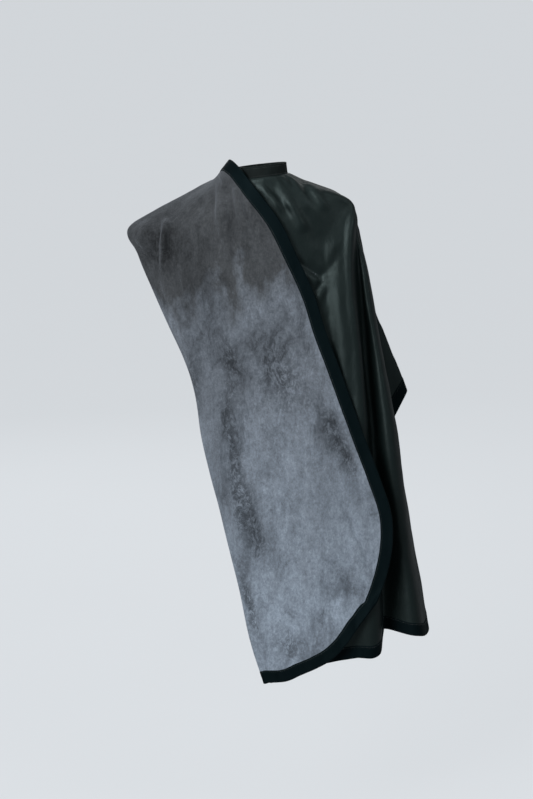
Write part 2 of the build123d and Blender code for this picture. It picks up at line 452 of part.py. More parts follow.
def across_at_fold(downs, distance):
    """across where each row passes distance beyond the fold line; 1 if it never does."""
    across = np.linspace(0, 1, 401)
    found = []
    for down in downs:
        offset = fold_offset(turned.at(across, np.full(401, down)))
        k = int(np.argmax(offset > distance))
        if not (offset > distance).any():
            found.append(1.0)
        elif k == 0:
            found.append(0.0)
        else:
            part = (distance - offset[k - 1]) / (offset[k] - offset[k - 1])
            found.append(across[k - 1] + part * (across[k] - across[k - 1]))
    return np.array(found)


def turned_edge(down, distance):
    """across a distance in from the free edge; on a short row the binding takes 70% of it."""
    count = len(down)
    row = np.linalg.norm(turned.at(np.full(count, 0.5), down)
                         - turned.at(np.full(count, 0.1), down), axis=1) / 0.4
    return np.maximum(1 - turned.inset_across(np.full(count, 0.995), down, distance),
                      0.3 - 1.3 * (distance - BINDING_W) / row)


def fold_meets_edge(distance):
    """down where the line at distance from the fold first leaves the free edge."""
    tries = np.linspace(0, 0.6, 601)
    return first_station(tries, across_at_fold(tries, distance) < 0.999)


# ---------------------------------------------------------------- turned panel: fixed part
SOFT_FOLD_ANGLES = (0.85, 1.3, 1.75, 2.2, 2.75)     # radians, from 0 (main) to pi (panel)


def soft_fold(down):
    """Points round the soft fold between the main cloth and the turned panel."""
    zeros = np.zeros(len(down))
    crease = turned.at(zeros, down)
    inner = turned.at(np.full(len(down), 0.1), down)
    along = unit(turned.slopes(zeros, down)[1])
    main_edge = main.grid[0]
    mate = main_edge[np.linalg.norm(crease[:, None] - main_edge[None], axis=2).argmin(1)]
    mate = mate - along * np.sum((mate - crease) * along, axis=1, keepdims=True)
    half = (crease - mate) / 2
    centre = (crease + mate) / 2
    away = unit(np.cross(along, half))
    away *= np.where(np.sum(away * (inner - crease), axis=1) < 0, 1.0, -1.0)[:, None]
    radius = np.linalg.norm(half, axis=1, keepdims=True)
    return np.stack([centre - half * math.cos(angle) + away * radius * math.sin(angle)
                     for angle in SOFT_FOLD_ANGLES], 0)


def with_soft_fold(across_end, down, count):
    """Grid from the soft fold across the panel to across_end at each down."""
    across = np.linspace(0, 1, count)[:, None] * across_end[None, :]
    return np.concatenate([soft_fold(down), turned.at(across, np.broadcast_to(down, across.shape))],
                          0)


# From the soft fold to the fold line or, near the neck, to the binding.
fixed_end = float(turned.above_hem(np.array([0.03]), SHEET_INSET)[0]) - 0.004
down = np.linspace(0.0, fixed_end, 25)
across_end = np.minimum(turned_edge(down, SHEET_INSET), across_at_fold(down, -HINGE_GAP))
save_sheets("side_fold", with_soft_fold(across_end, down, 7), TURNED_SIDE,
            flipped(SHELL), flipped(LINING))

# Its binding: down the free edge from the neck as far as the fold line, and the hem's corner.
fixed_edge_end = fold_meets_edge(-HINGE_GAP)
down = np.linspace(0.0, fixed_edge_end - 0.002, 11)
inner = turned_edge(down, BINDING_W)
edge_grid = turned.at(inner[None, :] + (1 - inner[None, :]) * np.linspace(0, 1, 3)[:, None],
                      np.broadcast_to(down, (3, 11)))
down = np.linspace(fixed_end + 0.005, 1.0, 3)
corner_grid = with_soft_fold(across_at_fold(down, -HINGE_GAP), down, 3)
save("side_fold_binding", layer(edge_grid, TURNED_SIDE, flipped(BINDING)),
     layer(corner_grid, TURNED_SIDE, flipped(BINDING)))

# ---------------------------------------------------------------- turned panel: moving part
tries = np.linspace(fixed_edge_end, 0.7, 801)
room = turned_edge(tries, SHEET_INSET) - across_at_fold(tries, HINGE_GAP)
moving_start = first_station(tries, room > 0.05)


def moving_grid(rows, cols):
    """Sheet of the moving part, inset from the free edge and the hem."""
    parts = np.linspace(0, 1, rows)
    bottom = 1.0
    for _ in range(4):    # settles the lower end, where each line's inset depends on its place
        low = across_at_fold([bottom], HINGE_GAP)[0]
        high = turned_edge(np.array([bottom]), SHEET_INSET)[0]
        ends = turned.above_hem(low + parts * (high - low), SHEET_INSET)
        bottom = ends.mean()
    lines = []
    for part, end in zip(parts, ends):
        down = moving_start + np.linspace(0, 1, cols) * (end - moving_start)
        low, high = across_at_fold(down, HINGE_GAP), turned_edge(down, SHEET_INSET)
        lines.append(turned.at(low + part * (high - low), down))
    return np.stack(lines, 0)


def moving_binding_grid():
    """Down the free edge, round the corner and along the hem to the fold line."""
    top = fold_meets_edge(HINGE_GAP)
    down = np.linspace(top + 0.002, 1.0, 33)
    hem_end = float(across_at_fold([1.0], HINGE_GAP)[0])
    across = np.linspace(1.0, hem_end, 17)[1:]

    corner_across = turned_edge(np.array([0.985]), BINDING_W)
    inner_down = stretch(down, top, float(turned.above_hem(corner_across, BINDING_W)[0]))
    side = np.maximum(turned_edge(inner_down, BINDING_W), across_at_fold(inner_down, HINGE_GAP))
    hem = stretch(across, hem_end, side[-1])
    hem_down = turned.above_hem(hem, BINDING_W)
    hem = np.maximum(hem, across_at_fold(hem_down, HINGE_GAP))
    inner = np.concatenate([turned.at(side, inner_down), turned.at(hem, hem_down)])
    return strip(inner, outer_edge(turned, down, across))


save_sheets("turned_panel", moving_grid(11, 19), TURNED_SIDE, flipped(SHELL), flipped(LINING))
save("turned_panel_binding", layer(moving_binding_grid(), TURNED_SIDE, flipped(BINDING)))


# ---------------------------------------------------------------- left back panel
def back_hinge(down):
    """across at the hinge gap from the fold line."""
    return back.inset_across(np.full(len(down), 0.02), down, HINGE_GAP)


def back_edge(down, distance):
    """across a distance in from the back opening."""
    return np.maximum(1 - back.inset_across(np.full(len(down), 0.98), down, distance), 0.0)


def back_sheet_grid(rows, cols):
    tries = np.linspace(0.0, 0.6, 601)
    top = first_station(tries, back_edge(tries, SHEET_INSET) - back_hinge(tries) > 0.08)
    lines = []
    for part in np.linspace(0, 1, rows):
        end = back.above_hem(np.array([0.1 + 0.75 * part]), SHEET_INSET)[0]
        down = top + np.linspace(0, 1, cols) * (end - top)
        low, high = back_hinge(down), back_edge(down, SHEET_INSET)
        lines.append(back.at(low + part * (high - low), down))
    return np.stack(lines, 0)


def back_binding_grid():
    """Down the back opening, round the corner and along the hem to near the fold line."""
    tries = np.linspace(0.0, 0.6, 601)
    top = first_station(tries, 1 - back_hinge(tries) > 0.35)
    down = np.linspace(top, 1.0, 25)
    hem_end = 0.06
    across = np.linspace(1.0, hem_end, 13)[1:]

    corner_across = back_edge(np.array([0.96]), BINDING_W)
    inner_down = stretch(down, top, float(back.above_hem(corner_across, BINDING_W)[0]))
    side = np.maximum(back_edge(inner_down, BINDING_W), back_hinge(inner_down))
    hem = stretch(across, hem_end, side[-1])
    inner = np.concatenate([back.at(side, inner_down),
                            back.at(hem, back.above_hem(hem, BINDING_W))])
    return strip(inner, outer_edge(back, down, across))


save_sheets("back_panel", back_sheet_grid(9, 17), BACK_SIDE)
save("back_panel_binding", layer(back_binding_grid(), BACK_SIDE, BINDING))

# ---------------------------------------------------------------- neckband, tab and snaps
RING = Plane(origin=(0, 0, 0), x_dir=(1, 0, -BAND_AXIS[0]), z_dir=BAND_AXIS)


def band(r_in, r_out, start, end, height=BAND_H):
    """Part of a ring wall, centred on the neck opening."""
    ring = Cylinder(r_out, height) - Cylinder(r_in, height + 2)
    start_rad = math.radians(start)
    wedge = Part() + Solid.make_cylinder(
        r_out + 5, height + 4,
        Plane((0, 0, -height / 2 - 2), x_dir=(math.cos(start_rad), math.sin(start_rad), 0),
              z_dir=(0, 0, 1)),
        angle=end - start)
    return RING.location * (ring & wedge)


def disc(deg, r_low, r_high, radius):
    """Cylinder that points out of the band at deg, from r_low to r_high off the band's axis."""
    x, y = math.cos(math.radians(deg)), math.sin(math.radians(deg))
    base = RING.from_local_coords(Vector(r_low * x, r_low * y, 0))
    beyond = RING.from_local_coords(Vector((r_low + 1) * x, (r_low + 1) * y, 0))
    return Solid.make_cylinder(radius, r_high - r_low, Plane(origin=base, z_dir=beyond - base))


def wall_radii(inside):
    """(inner, outer) radii of the lining, interfacing and outer layer of a wall."""
    radii = []
    for thickness in (BAND_LINING_T, BAND_CORE_T, BAND_OUTER_T):
        radii.append((inside, inside + thickness))
        inside += thickness + LAYER_GAP
    return radii


def minus(shape, tools=()):
    for tool in tools:
        shape = shape - tool
    return shape.solids()[0]


# neckband
lining_r, core_r, outer_r = wall_radii(NECK_R)
BAND_IN, BAND_OUT = lining_r[1], outer_r[1]     # outside of the lining, outside of the band
ends = (BAND_START_DEG, BAND_END_DEG)
holes = [disc(deg, BAND_IN - 3, BAND_OUT + 3, POST_HOLE_R) for deg in SNAP_DEGS]
save("neckband_lining", minus(band(*lining_r, *ends)))
save("neckband_interfacing", minus(band(*core_r, *ends, INTERFACING_H), holes))
save("neckband_outer", minus(band(*outer_r, *ends), holes))

# A socket is a ring outside the band; its post runs back through the band's outer layers.
socket_top = BAND_OUT + 1.9
sockets, posts = [], []
for deg in SNAP_DEGS:
    socket = (disc(deg, BAND_OUT + 0.25, socket_top, SOCKET_R)
              - disc(deg, BAND_OUT + 0.2, socket_top + 0.2, SOCKET_BORE_R))
    sockets += list(socket.solids())
    posts.append(disc(deg, BAND_IN + 0.1, BAND_OUT + 0.7, POST_R))
save("snap_sockets", *sockets)
save("snap_socket_posts", *posts)

# closing tab, outside the band, from near the band's wearer's-left end
lining_r, core_r, outer_r = wall_radii(TAB_IN_R)
TAB_OUT = outer_r[1]
ends = (TAB_START_DEG, TAB_END_DEG)
holes = [disc(deg, TAB_IN_R - 2, TAB_OUT + 2, POST_R) for deg in STUD_DEGS]
save("tab_lining", minus(band(*lining_r, *ends), holes))
save("tab_interfacing",
     minus(band(*core_r, TAB_START_DEG, TAB_END_DEG - 2, INTERFACING_H), holes))
save("tab_outer", minus(band(*outer_r, *ends), holes))

# studs through the tab into the sockets, and their caps outside it
save("snap_studs", *[disc(deg, BAND_OUT + 0.85, TAB_OUT + 0.05, STUD_R) for deg in STUD_DEGS])
save("snap_caps", *[disc(deg, TAB_OUT + 0.15, TAB_OUT + 1.6, CAP_R) for deg in STUD_DEGS])
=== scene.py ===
import math

import bpy
import numpy as np
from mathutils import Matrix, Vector


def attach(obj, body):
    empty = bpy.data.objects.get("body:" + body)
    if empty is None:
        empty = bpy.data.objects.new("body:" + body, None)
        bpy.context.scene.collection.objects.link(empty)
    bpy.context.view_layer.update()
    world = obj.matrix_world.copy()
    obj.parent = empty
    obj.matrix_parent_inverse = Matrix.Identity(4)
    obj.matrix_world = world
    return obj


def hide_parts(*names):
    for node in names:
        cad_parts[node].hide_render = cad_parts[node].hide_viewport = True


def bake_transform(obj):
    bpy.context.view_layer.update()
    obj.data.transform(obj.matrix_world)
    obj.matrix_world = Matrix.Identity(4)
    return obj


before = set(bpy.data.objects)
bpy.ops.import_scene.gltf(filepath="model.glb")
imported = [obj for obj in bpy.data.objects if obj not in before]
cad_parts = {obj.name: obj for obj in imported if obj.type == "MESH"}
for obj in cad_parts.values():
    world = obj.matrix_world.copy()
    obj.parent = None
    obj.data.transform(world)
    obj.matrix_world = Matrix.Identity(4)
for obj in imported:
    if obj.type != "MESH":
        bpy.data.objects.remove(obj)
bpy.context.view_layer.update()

# Cloth nets in millimetres, in the frame's own axes: lines of points on each cloth's middle surface.
MAIN_NET = [
    [(-9.3, 53.4, -20.6), (-52.1, 57.3, -49.1), (-112, 38.5, -35.8), (-174.4, 26.3, -65.5), (-234.3, 15.8, -97.5), (-285, 5.1, -132.3), (-262.5, -3.1, -195.6), (-234.6, -10.7, -257.8), (-206.1, -19, -320.4), (-176.9, -27.8, -382.8), (-149.7, -37.2, -446), (-136.9, -47.9, -513.4), (-127, -58.5, -581.2), (-110.1, -69.2, -647.7), (-90.6, -80.8, -713.3), (-74.1, -92.5, -779.6), (-57.6, -104.7, -846), (-41.4, -117.4, -912.3), (-28.3, -130.7, -979.2), (-11.8, -143.3, -1045.4), (11.2, -154.4, -1109.9)],
    [(-49, 17.4, -21.8), (-106.5, 12, -44.3), (-158.2, 6.2, -76.8), (-207.5, -13, -109.1), (-233, -36, -153.6), (-207.9, -40.3, -209.5), (-182.4, -45.2, -265.2), (-158.1, -52, -321.6), (-135.1, -59, -378.8), (-114.3, -66.4, -436.8), (-97.4, -73.9, -496.1), (-87.9, -81.8, -556.9), (-78.4, -89.9, -617.8), (-63.8, -98.1, -677.6), (-48.7, -106.5, -737.2), (-34.6, -115, -797), (-21, -123.7, -857), (-8.2, -133.1, -917), (4.8, -142.4, -977), (19.5, -151.2, -1036.7), (34.7, -159.9, -1096.2)],
    [(-49.4, -19.8, -18.8), (-91.1, -35, -54.2), (-127.6, -50.5, -94.8), (-147.9, -64, -144.6), (-131.9, -70.3, -198.4), (-111, -75.4, -250.9), (-92.2, -81.3, -304.2), (-73.3, -87, -357.5), (-56.1, -92.5, -411.3), (-40.8, -98, -465.7), (-30.9, -103.6, -521.3), (-24.7, -109.4, -577.5), (-15.2, -115.2, -633.2), (-3.2, -121.1, -688.4), (8.5, -127, -743.7), (19.8, -133, -799), (30.9, -139.1, -854.3), (41.9, -145.4, -909.7), (52.8, -151.7, -965.1), (63.5, -157.9, -1020.5), (74.1, -164, -1076)],
    [(-29.8, -45.7, -14.4), (-52.4, -59.5, -61), (-59.4, -75.5, -111.9), (-55.3, -87.6, -164.1), (-42, -92, -216.3), (-28.1, -97.1, -268.2), (-12.7, -102.4, -319.7), (1.7, -107.3, -371.5), (15.2, -111.7, -423.6), (26.5, -116, -476.3), (33, -120.5, -529.7), (38.1, -125.1, -583.3), (46.2, -129.6, -636.5), (55.7, -134.1, -689.5), (64.9, -138.6, -742.5), (74.1, -143.1, -795.5), (83.5, -147.7, -848.5), (93, -152.3, -901.5), (102, -156.8, -954.5), (110, -161.4, -1007.7), (117.8, -166, -1061)],
    [(-0.7, -55.5, -10.2), (4.6, -70.6, -60.9), (20.4, -80.8, -110.4), (34.2, -88.2, -161.1), (39.8, -94.4, -213.6), (48.6, -100.3, -265.7), (60.5, -105.7, -317.3), (71.8, -110.6, -369), (82.2, -114.9, -421), (90.8, -119, -473.4), (95.9, -123.3, -526.2), (99.9, -127.6, -579), (106.1, -131.8, -631.7), (113.3, -136, -684.2), (120.6, -140.2, -736.8), (128.3, -144.4, -789.2), (136.2, -148.6, -841.7), (144.5, -152.8, -894.1), (152, -156.9, -946.6), (158.1, -161.1, -999.3), (163.8, -165.3, -1052)],
    [(28.3, -48.2, -7.4), (58.8, -64.3, -48.5), (91.4, -65.8, -91.2), (112, -65.9, -140.8), (116.2, -75.3, -193.6), (118.8, -85.2, -246.5), (127.2, -92, -299.3), (136.1, -97.9, -352.2), (143.8, -103.6, -405.3), (150.4, -108.9, -458.5), (154.8, -114, -512.1), (157.9, -118.8, -565.7), (162.2, -123.4, -619.3), (167.4, -127.8, -672.8), (173.1, -132.1, -726.2), (179.4, -136.2, -779.7), (186, -140.3, -833), (193.3, -144.3, -886.3), (199.7, -148.3, -939.7), (204.2, -152.1, -993.4), (208.4, -155.9, -1047)],
    [(47.3, -30, -6.7), (100.3, -38.9, -27.6), (153.8, -29.7, -46.1), (194.2, -18.7, -76.4), (189, -44.3, -127.7), (187.3, -56, -184.2), (192.2, -68.2, -240.5), (198.1, -77.7, -297.2), (204.3, -84.7, -354.2), (209.2, -91.9, -411.3), (212.9, -99, -468.6), (215.4, -105.4, -526), (217.8, -111.1, -583.4), (220.8, -116.2, -640.9), (224.7, -120.9, -698.4), (229.6, -125.2, -755.8), (235, -129.4, -813.2), (241.2, -133.5, -870.5), (247.3, -137.5, -927.9), (252, -141.1, -985.4), (253.5, -144.6, -1043)],
    [(53, -18, -7), (105.8, -19.7, -22.4), (156.7, -13.5, -42.4), (196.3, -3.9, -76.2), (200.5, -10.4, -130.6), (207.8, -18, -184.7), (214, -24.1, -239.1), (219.5, -29.6, -293.6), (224.4, -35, -348.3), (228.7, -39.7, -403), (232, -43.5, -457.8), (235.4, -47.1, -512.7), (239, -50.7, -567.6), (242.8, -53.9, -622.5), (246.9, -56.5, -677.3), (251.2, -58.8, -732.2), (255.8, -60.9, -787.1), (260.7, -62.8, -841.9), (264.9, -64.7, -896.8), (268.2, -66.3, -951.8), (271.3, -68, -1006.8)],
    [(55.2, -8.7, -7.5), (109.4, -7.6, -21.4), (160.9, -3, -42.3), (199.2, 3.1, -79.6), (204.7, -2.2, -134.9), (216.8, -12, -188.6), (226.2, -22.6, -242.7), (234.2, -33.2, -297.1), (243.3, -42.2, -351.5), (253.4, -49.7, -406.1), (263.1, -56.5, -460.7), (271.6, -62.9, -515.6), (279.1, -68.8, -570.8), (286.4, -74.2, -626), (293.7, -79, -681.2), (300.8, -83.3, -736.5), (308.1, -87.3, -791.9), (316, -91.2, -847.1), (324.4, -95.1, -902.3), (331.2, -98.7, -957.7), (337, -102, -1013.2)],
    [(55.8, 0.7, -8.2), (110.4, 4.3, -21.7), (162.5, 6.7, -42.9), (199.7, 12.8, -81.5), (207.2, 13.1, -137.3), (219.4, 13, -192.4), (232.9, 12.2, -247.2), (245.3, 8, -302), (253.5, 4.4, -357.7), (263.2, 1, -413.2), (274.5, -2.8, -468.3), (283.4, -6.4, -523.9), (295.7, -9.8, -578.8), (306.1, -13.6, -634.1), (316.5, -17, -689.4), (327.5, -20, -744.7), (336.3, -23.4, -800.3), (345.1, -26.9, -855.9), (356.2, -30.1, -911.2), (364.2, -33.3, -966.9), (371.2, -37, -1022.8)],
    [(54.7, 10.1, -9.1), (104.2, 15.3, -21.2), (151.9, 15.5, -39.7), (193.4, 22.7, -67.5), (201.6, 31.9, -116.8), (208.8, 39, -167.1), (215.7, 43.8, -217.6), (221.3, 46.3, -268.5), (226.7, 47, -319.5), (233.5, 46.6, -370.3), (241.2, 45.1, -420.9), (249.7, 43.1, -471.5), (259, 40.6, -521.8), (268.4, 37.9, -572.1), (277.6, 35.4, -622.5), (286.9, 32.9, -672.8), (296.2, 30.4, -723.2), (305.6, 28, -773.5), (314.3, 25.1, -823.9), (322.3, 21.6, -874.5), (330, 18, -925)],
    [(52.1, 19.2, -10.1), (91.7, 24.7, -20.9), (130.7, 25.5, -34.9), (168, 29.3, -52.5), (194.9, 37, -81.4), (197.3, 46.2, -121.7), (200.2, 54.2, -162.2), (203.4, 60.9, -203), (206.3, 66.5, -244), (208.7, 71, -285.1), (210.8, 74.4, -326.4), (212.9, 77, -367.7), (214.9, 78.8, -409.1), (217, 79.7, -450.5), (219.2, 80.1, -491.9), (221.7, 79.5, -533.3), (224.3, 78.6, -574.6), (227.1, 77.6, -616), (230, 76.5, -657.3), (233, 75.2, -698.7), (236, 74, -740)],
    [(46.8, 29.2, -11.6), (75.3, 34, -21.5), (103.8, 36.8, -32.4), (131.7, 37.6, -44.7), (157.8, 41.7, -60), (181, 47.7, -78.9), (198.6, 54.6, -102.9), (211.1, 61, -130), (217.5, 65.1, -159.5), (222.6, 68.7, -189.4), (228.6, 72.4, -219.2), (234.9, 75.7, -248.9), (241.6, 78.5, -278.6), (250.1, 81.6, -307.8), (260.9, 85, -336.2), (274.8, 89.2, -363.1), (285.7, 93, -391.4), (294.7, 96.8, -420.3), (304.6, 100.9, -449), (314.3, 105.3, -477.6), (323.3, 110, -506.5)],
    [(39.7, 37.9, -13.1), (61.1, 53, -32.2), (83.4, 66, -51.8), (106.8, 76.4, -71.8), (127.8, 85.7, -94.6), (146.5, 93.9, -119.9), (163.1, 101.2, -146.7), (177.4, 107.6, -175.1), (189.3, 112.9, -204.9), (199.9, 117.7, -235.2), (210.3, 122.3, -265.5), (220, 126.4, -296.2), (229, 130.1, -327.2), (237.5, 133.8, -358.3), (245.7, 137.5, -389.5), (253.3, 141.2, -420.8), (260.3, 144.4, -452.3), (266.7, 147, -484), (272.1, 148.9, -515.9), (277, 150.4, -548), (282, 152, -580)],
    [(29.2, 45.9, -15), (32.2, 53.9, -49.8), (34.1, 60.2, -85), (36, 66.1, -120.3), (41.3, 74.7, -154.6), (48.9, 84.4, -188.2), (58.5, 92.5, -221.8), (70.6, 98.6, -255), (82.9, 104.4, -288.1), (94.9, 110.5, -321.3), (106.9, 116.6, -354.5), (118.9, 122.7, -387.7), (131, 128.8, -420.9), (143, 134.9, -454.1), (155, 141, -487.3), (167, 147.1, -520.5), (179, 153.1, -553.7), (191, 159.2, -586.9), (203, 165.3, -620.1), (215, 171.4, -653.3), (227, 177.5, -686.5)],
]
TURNED_NET = [
    [(-12.4, 60.6, -52.5), (-49.4, 56.7, -55.4), (-75.6, 48.1, -46.5), (-89.1, 41.4, -31.9), (-100.4, 35.8, -21.4), (-127.8, 30.1, -26.2), (-172.8, 23.6, -46.9), (-234, 11.2, -80.4), (-292.6, -1.8, -123.9), (-272.5, -10.5, -186.6), (-245.2, -18.2, -250.5), (-208.9, -28.6, -330.8), (-171.6, -40.2, -410.6), (-146.3, -52.7, -490.4), (-134.5, -65.6, -570.2), (-115.6, -78.7, -650.1), (-92.5, -93, -730), (-71, -108.5, -814.9), (-47.6, -126, -904.7), (-25.9, -145.3, -999.3), (12.6, -165.3, -1101.2)],
    [(-12.6, 62.6, -50.6), (-49.6, 58.5, -53.2), (-74.9, 49.2, -43.8), (-88, 41.4, -28.8), (-98.6, 34.2, -18.6), (-123.3, 24.6, -26), (-166.6, 13.5, -48.3), (-222.9, -1.9, -84.1), (-274.3, -16, -123), (-253.2, -25.6, -186.1), (-225.7, -33.9, -250.3), (-190.2, -44.2, -330.5), (-153.5, -55.7, -410.4), (-128.1, -68.1, -490.2), (-115, -81.1, -570.1), (-95.3, -94.1, -650), (-71.8, -107.9, -729.9), (-50.8, -121.9, -813.6), (-28.8, -137.2, -901.5), (-8.4, -153.8, -993.1), (33.5, -169.4, -1099)],
    [(-12.8, 64, -48.8), (-49.9, 59.9, -51.1), (-74.2, 49.8, -41.4), (-87, 40.9, -25.9), (-97.1, 32, -16), (-119.2, 18.6, -25.6), (-160.6, 3.1, -49.2), (-211.1, -14.7, -86.9), (-255.4, -29.4, -121.7), (-233.1, -39.8, -185.6), (-205.4, -48.6, -250.2), (-170.8, -58.9, -330.2), (-134.6, -70.2, -410.2), (-108.8, -82.4, -490.1), (-94.4, -95.4, -570.1), (-73.7, -108, -650), (-49.7, -121.1, -729.8), (-29.4, -133.4, -812.2), (-8.8, -146.3, -897.9), (10.1, -160.2, -986.3), (53.7, -174.1, -1094.5)],
    [(-13, 65.2, -46.2), (-50.1, 60.9, -48.3), (-73, 49.8, -38.3), (-85.6, 39.4, -22.1), (-95.2, 27.7, -12.5), (-113, 9.2, -24.2), (-149.3, -11.1, -49), (-189.4, -29.6, -86.8), (-224, -44.5, -119), (-199.6, -56, -184.6), (-171.3, -65.2, -250), (-137.8, -75.3, -330), (-102.2, -86.1, -410), (-75.8, -97.4, -490), (-59.2, -109.3, -570), (-37, -120.8, -650), (-12.4, -132.2, -729.6), (6.4, -142.1, -809.7), (24.2, -152, -892), (39.7, -162.2, -975.2), (81.7, -176.4, -1081.5)],
    [(-13, 65.2, -42.8), (-50.1, 60.6, -44.9), (-71.3, 48.3, -34.9), (-83.4, 35.9, -18), (-92.6, 20.7, -7.9), (-103.6, -3.1, -21.4), (-130.3, -26.1, -45.9), (-157.9, -44.2, -82.1), (-180.6, -60.2, -114.6), (-153.5, -73, -183), (-124.3, -83.1, -250), (-92.3, -93.1, -330), (-57.6, -103.3, -410), (-30.5, -113.8, -490), (-11.3, -124.7, -570), (12.6, -134.9, -650), (37.7, -144.3, -729.3), (54.1, -152, -806.3), (67.9, -159.1, -883.9), (78.8, -166.1, -960.2), (118.6, -179.6, -1064.2)],
    [(-13, 65, -39.5), (-50, 59.9, -41.7), (-69.2, 46.2, -32), (-80.6, 32.4, -14.4), (-88.9, 14.6, -2.5), (-92.8, -14.3, -18.1), (-109.5, -38.3, -41.9), (-126.5, -58.8, -77.3), (-136.1, -71.8, -109.9), (-106, -85.8, -181.3), (-76, -96.4, -250), (-45.3, -106.4, -330), (-11.5, -116, -410), (16.1, -125.6, -490), (37.7, -135, -570), (63.3, -143.4, -650), (88.7, -150.7, -729), (102.5, -156.7, -802.9), (111.9, -162.4, -875.6), (118, -167.9, -945.1), (152.6, -183, -1041.9)],
    [(-13, 64.7, -36.2), (-49.6, 59, -38.5), (-66.9, 43.9, -29.7), (-77.3, 29, -11.2), (-84.1, 10.3, 3.6), (-81.5, -23.9, -12.5), (-87.4, -48.1, -38.3), (-94.5, -72, -71.7), (-91.2, -82.2, -105.2), (-58.1, -96.7, -179.7), (-27, -107.2, -250), (2.5, -116.4, -330), (35.4, -124.6, -410), (63.8, -131.8, -490), (87.7, -138, -570), (114.7, -143.4, -650), (140, -148.1, -728.8), (151.1, -153.5, -799.4), (155.9, -159.6, -867.4), (157.2, -165.7, -930), (181.2, -178.5, -1013.1)],
    [(-13, 64.4, -32.8), (-49, 57.9, -35.4), (-64.4, 41.4, -27.6), (-73.5, 25.7, -8.2), (-78.6, 7.2, 9.9), (-70, -30.7, -3.9), (-64.7, -55.3, -33), (-61.8, -78.9, -61.9), (-45.7, -88.9, -100.4), (-9.2, -101.7, -178), (23, -110.3, -250), (51.2, -118.2, -330), (83.1, -124.3, -410), (111.7, -129.3, -490), (137.6, -133.3, -570), (165.6, -136.5, -650), (190.8, -139.9, -728.5), (199, -144.8, -796), (199.2, -150.8, -859.3), (195.6, -157.2, -915.2), (204.8, -173.9, -979.9)],
    [(-13, 64.3, -30.3), (-48.6, 57.1, -33.1), (-62.5, 39.5, -26.1), (-70.7, 23.3, -6), (-74.4, 5.1, 14.7), (-61.4, -34.6, 3.4), (-48.3, -58.8, -25.6), (-37.2, -80, -52.7), (-11.3, -91, -96.8), (27.7, -101, -176.7), (60.6, -108, -250), (87.6, -115, -330), (118.7, -119.9, -410), (147.4, -124, -490), (174.8, -127.5, -570), (203.7, -130.8, -650), (229, -134.4, -728.3), (235, -139.2, -793.5), (231.7, -144.8, -853.2), (224.4, -150.9, -904.1), (222.8, -170.5, -955.3)],
    [(-13, 64.1, -28.7), (-48.3, 56.5, -31.6), (-61.2, 38.2, -25.1), (-68.8, 21.7, -4.5), (-71.7, 3.6, 17.8), (-55.7, -37.2, 8.3), (-37.6, -60.4, -19.8), (-20.6, -78.9, -47.3), (11.7, -90.2, -94.4), (52, -97.7, -175.8), (85.4, -104.2, -250), (111.7, -111.1, -330), (142.3, -116, -410), (171.1, -120.3, -490), (199.7, -124.6, -570), (229.4, -129.7, -650), (254.7, -134.5, -728.1), (259.3, -139.1, -791.7), (253.8, -144, -849.1), (243.9, -148.6, -896.5), (234.8, -168.3, -938.9)],
    [(-13, 64, -27), (-48, 56, -30), (-60, 37, -24), (-67, 20, -3), (-69, 2, 21), (-50, -40, 13), (-27, -62, -14), (-4, -77, -42), (34.7, -88.9, -92), (76.3, -93.6, -175), (110.1, -99.8, -250), (135.7, -106.7, -330), (165.8, -111.7, -410), (194.9, -116.4, -490), (224.6, -121.8, -570), (255.2, -129, -650), (280.4, -135.2, -728), (283.7, -139.8, -790), (275.9, -143.6, -845), (263.4, -146.7, -889), (246.9, -166, -922.5)],
]
TURNED_S = [0.00000, 0.06667, 0.13333, 0.23333, 0.36667, 0.50000, 0.63333, 0.76667, 0.86667, 0.93333, 1.00000]
BACK_NET = [
    [(15.3, 69.2, -129.3), (29.9, 76.6, -169.8), (50.8, 87.2, -227.6), (71.7, 97.8, -285.4), (92.6, 108.4, -343.2), (113.5, 119, -401), (134.4, 129.6, -458.8), (155.3, 140.2, -516.6), (176.2, 150.8, -574.4), (197.1, 161.4, -632.2), (218, 172, -690)],
    [(14, 69.5, -130.3), (25.7, 80.1, -173.1), (42.3, 90.8, -234.1), (59, 101.6, -295), (75.8, 112.2, -355.9), (92.6, 122.5, -416.7), (109.4, 132.5, -477.4), (126.2, 142.3, -538.2), (143, 151.7, -598.9), (160, 161.1, -659.6), (186.8, 177.7, -741.4)],
    [(12.7, 69.8, -131.2), (21.2, 82.7, -176.6), (33.5, 93.7, -240.7), (46.1, 104.6, -304.7), (58.8, 115.2, -368.6), (71.5, 125.2, -432.4), (84.3, 134.8, -496.1), (97.1, 143.8, -559.7), (109.8, 152.3, -623.3), (122.9, 160.4, -686.9), (152.9, 180.9, -791.4)],
    [(11.4, 69.6, -132.2), (16.2, 83, -180.3), (24.4, 94.5, -247.4), (33, 105.6, -314.4), (41.6, 116.2, -381.3), (50.4, 126.2, -448), (59.2, 135.6, -514.7), (68, 144.1, -581.2), (76.5, 151.8, -647.8), (85.8, 159.1, -714.2), (114.8, 180, -838.2)],
    [(10.2, 69, -133.1), (12.4, 78.7, -182.7), (16.3, 89, -252.9), (20.6, 99.2, -322.9), (25.2, 109.2, -392.8), (29.8, 118.9, -462.6), (34.5, 128.3, -532.3), (39.2, 137, -601.9), (43.5, 145.1, -671.4), (48.9, 152.8, -741), (71, 173.3, -878.5)],
    [(9, 68.4, -134), (9, 73.8, -184.8), (9, 81.7, -257.6), (9.3, 90, -330.4), (9.8, 98.6, -403.2), (10.2, 107.4, -476), (10.6, 116.4, -548.8), (11, 125.4, -621.6), (11, 134.1, -694.4), (12.3, 142.9, -767.2), (16, 154, -868)],
]

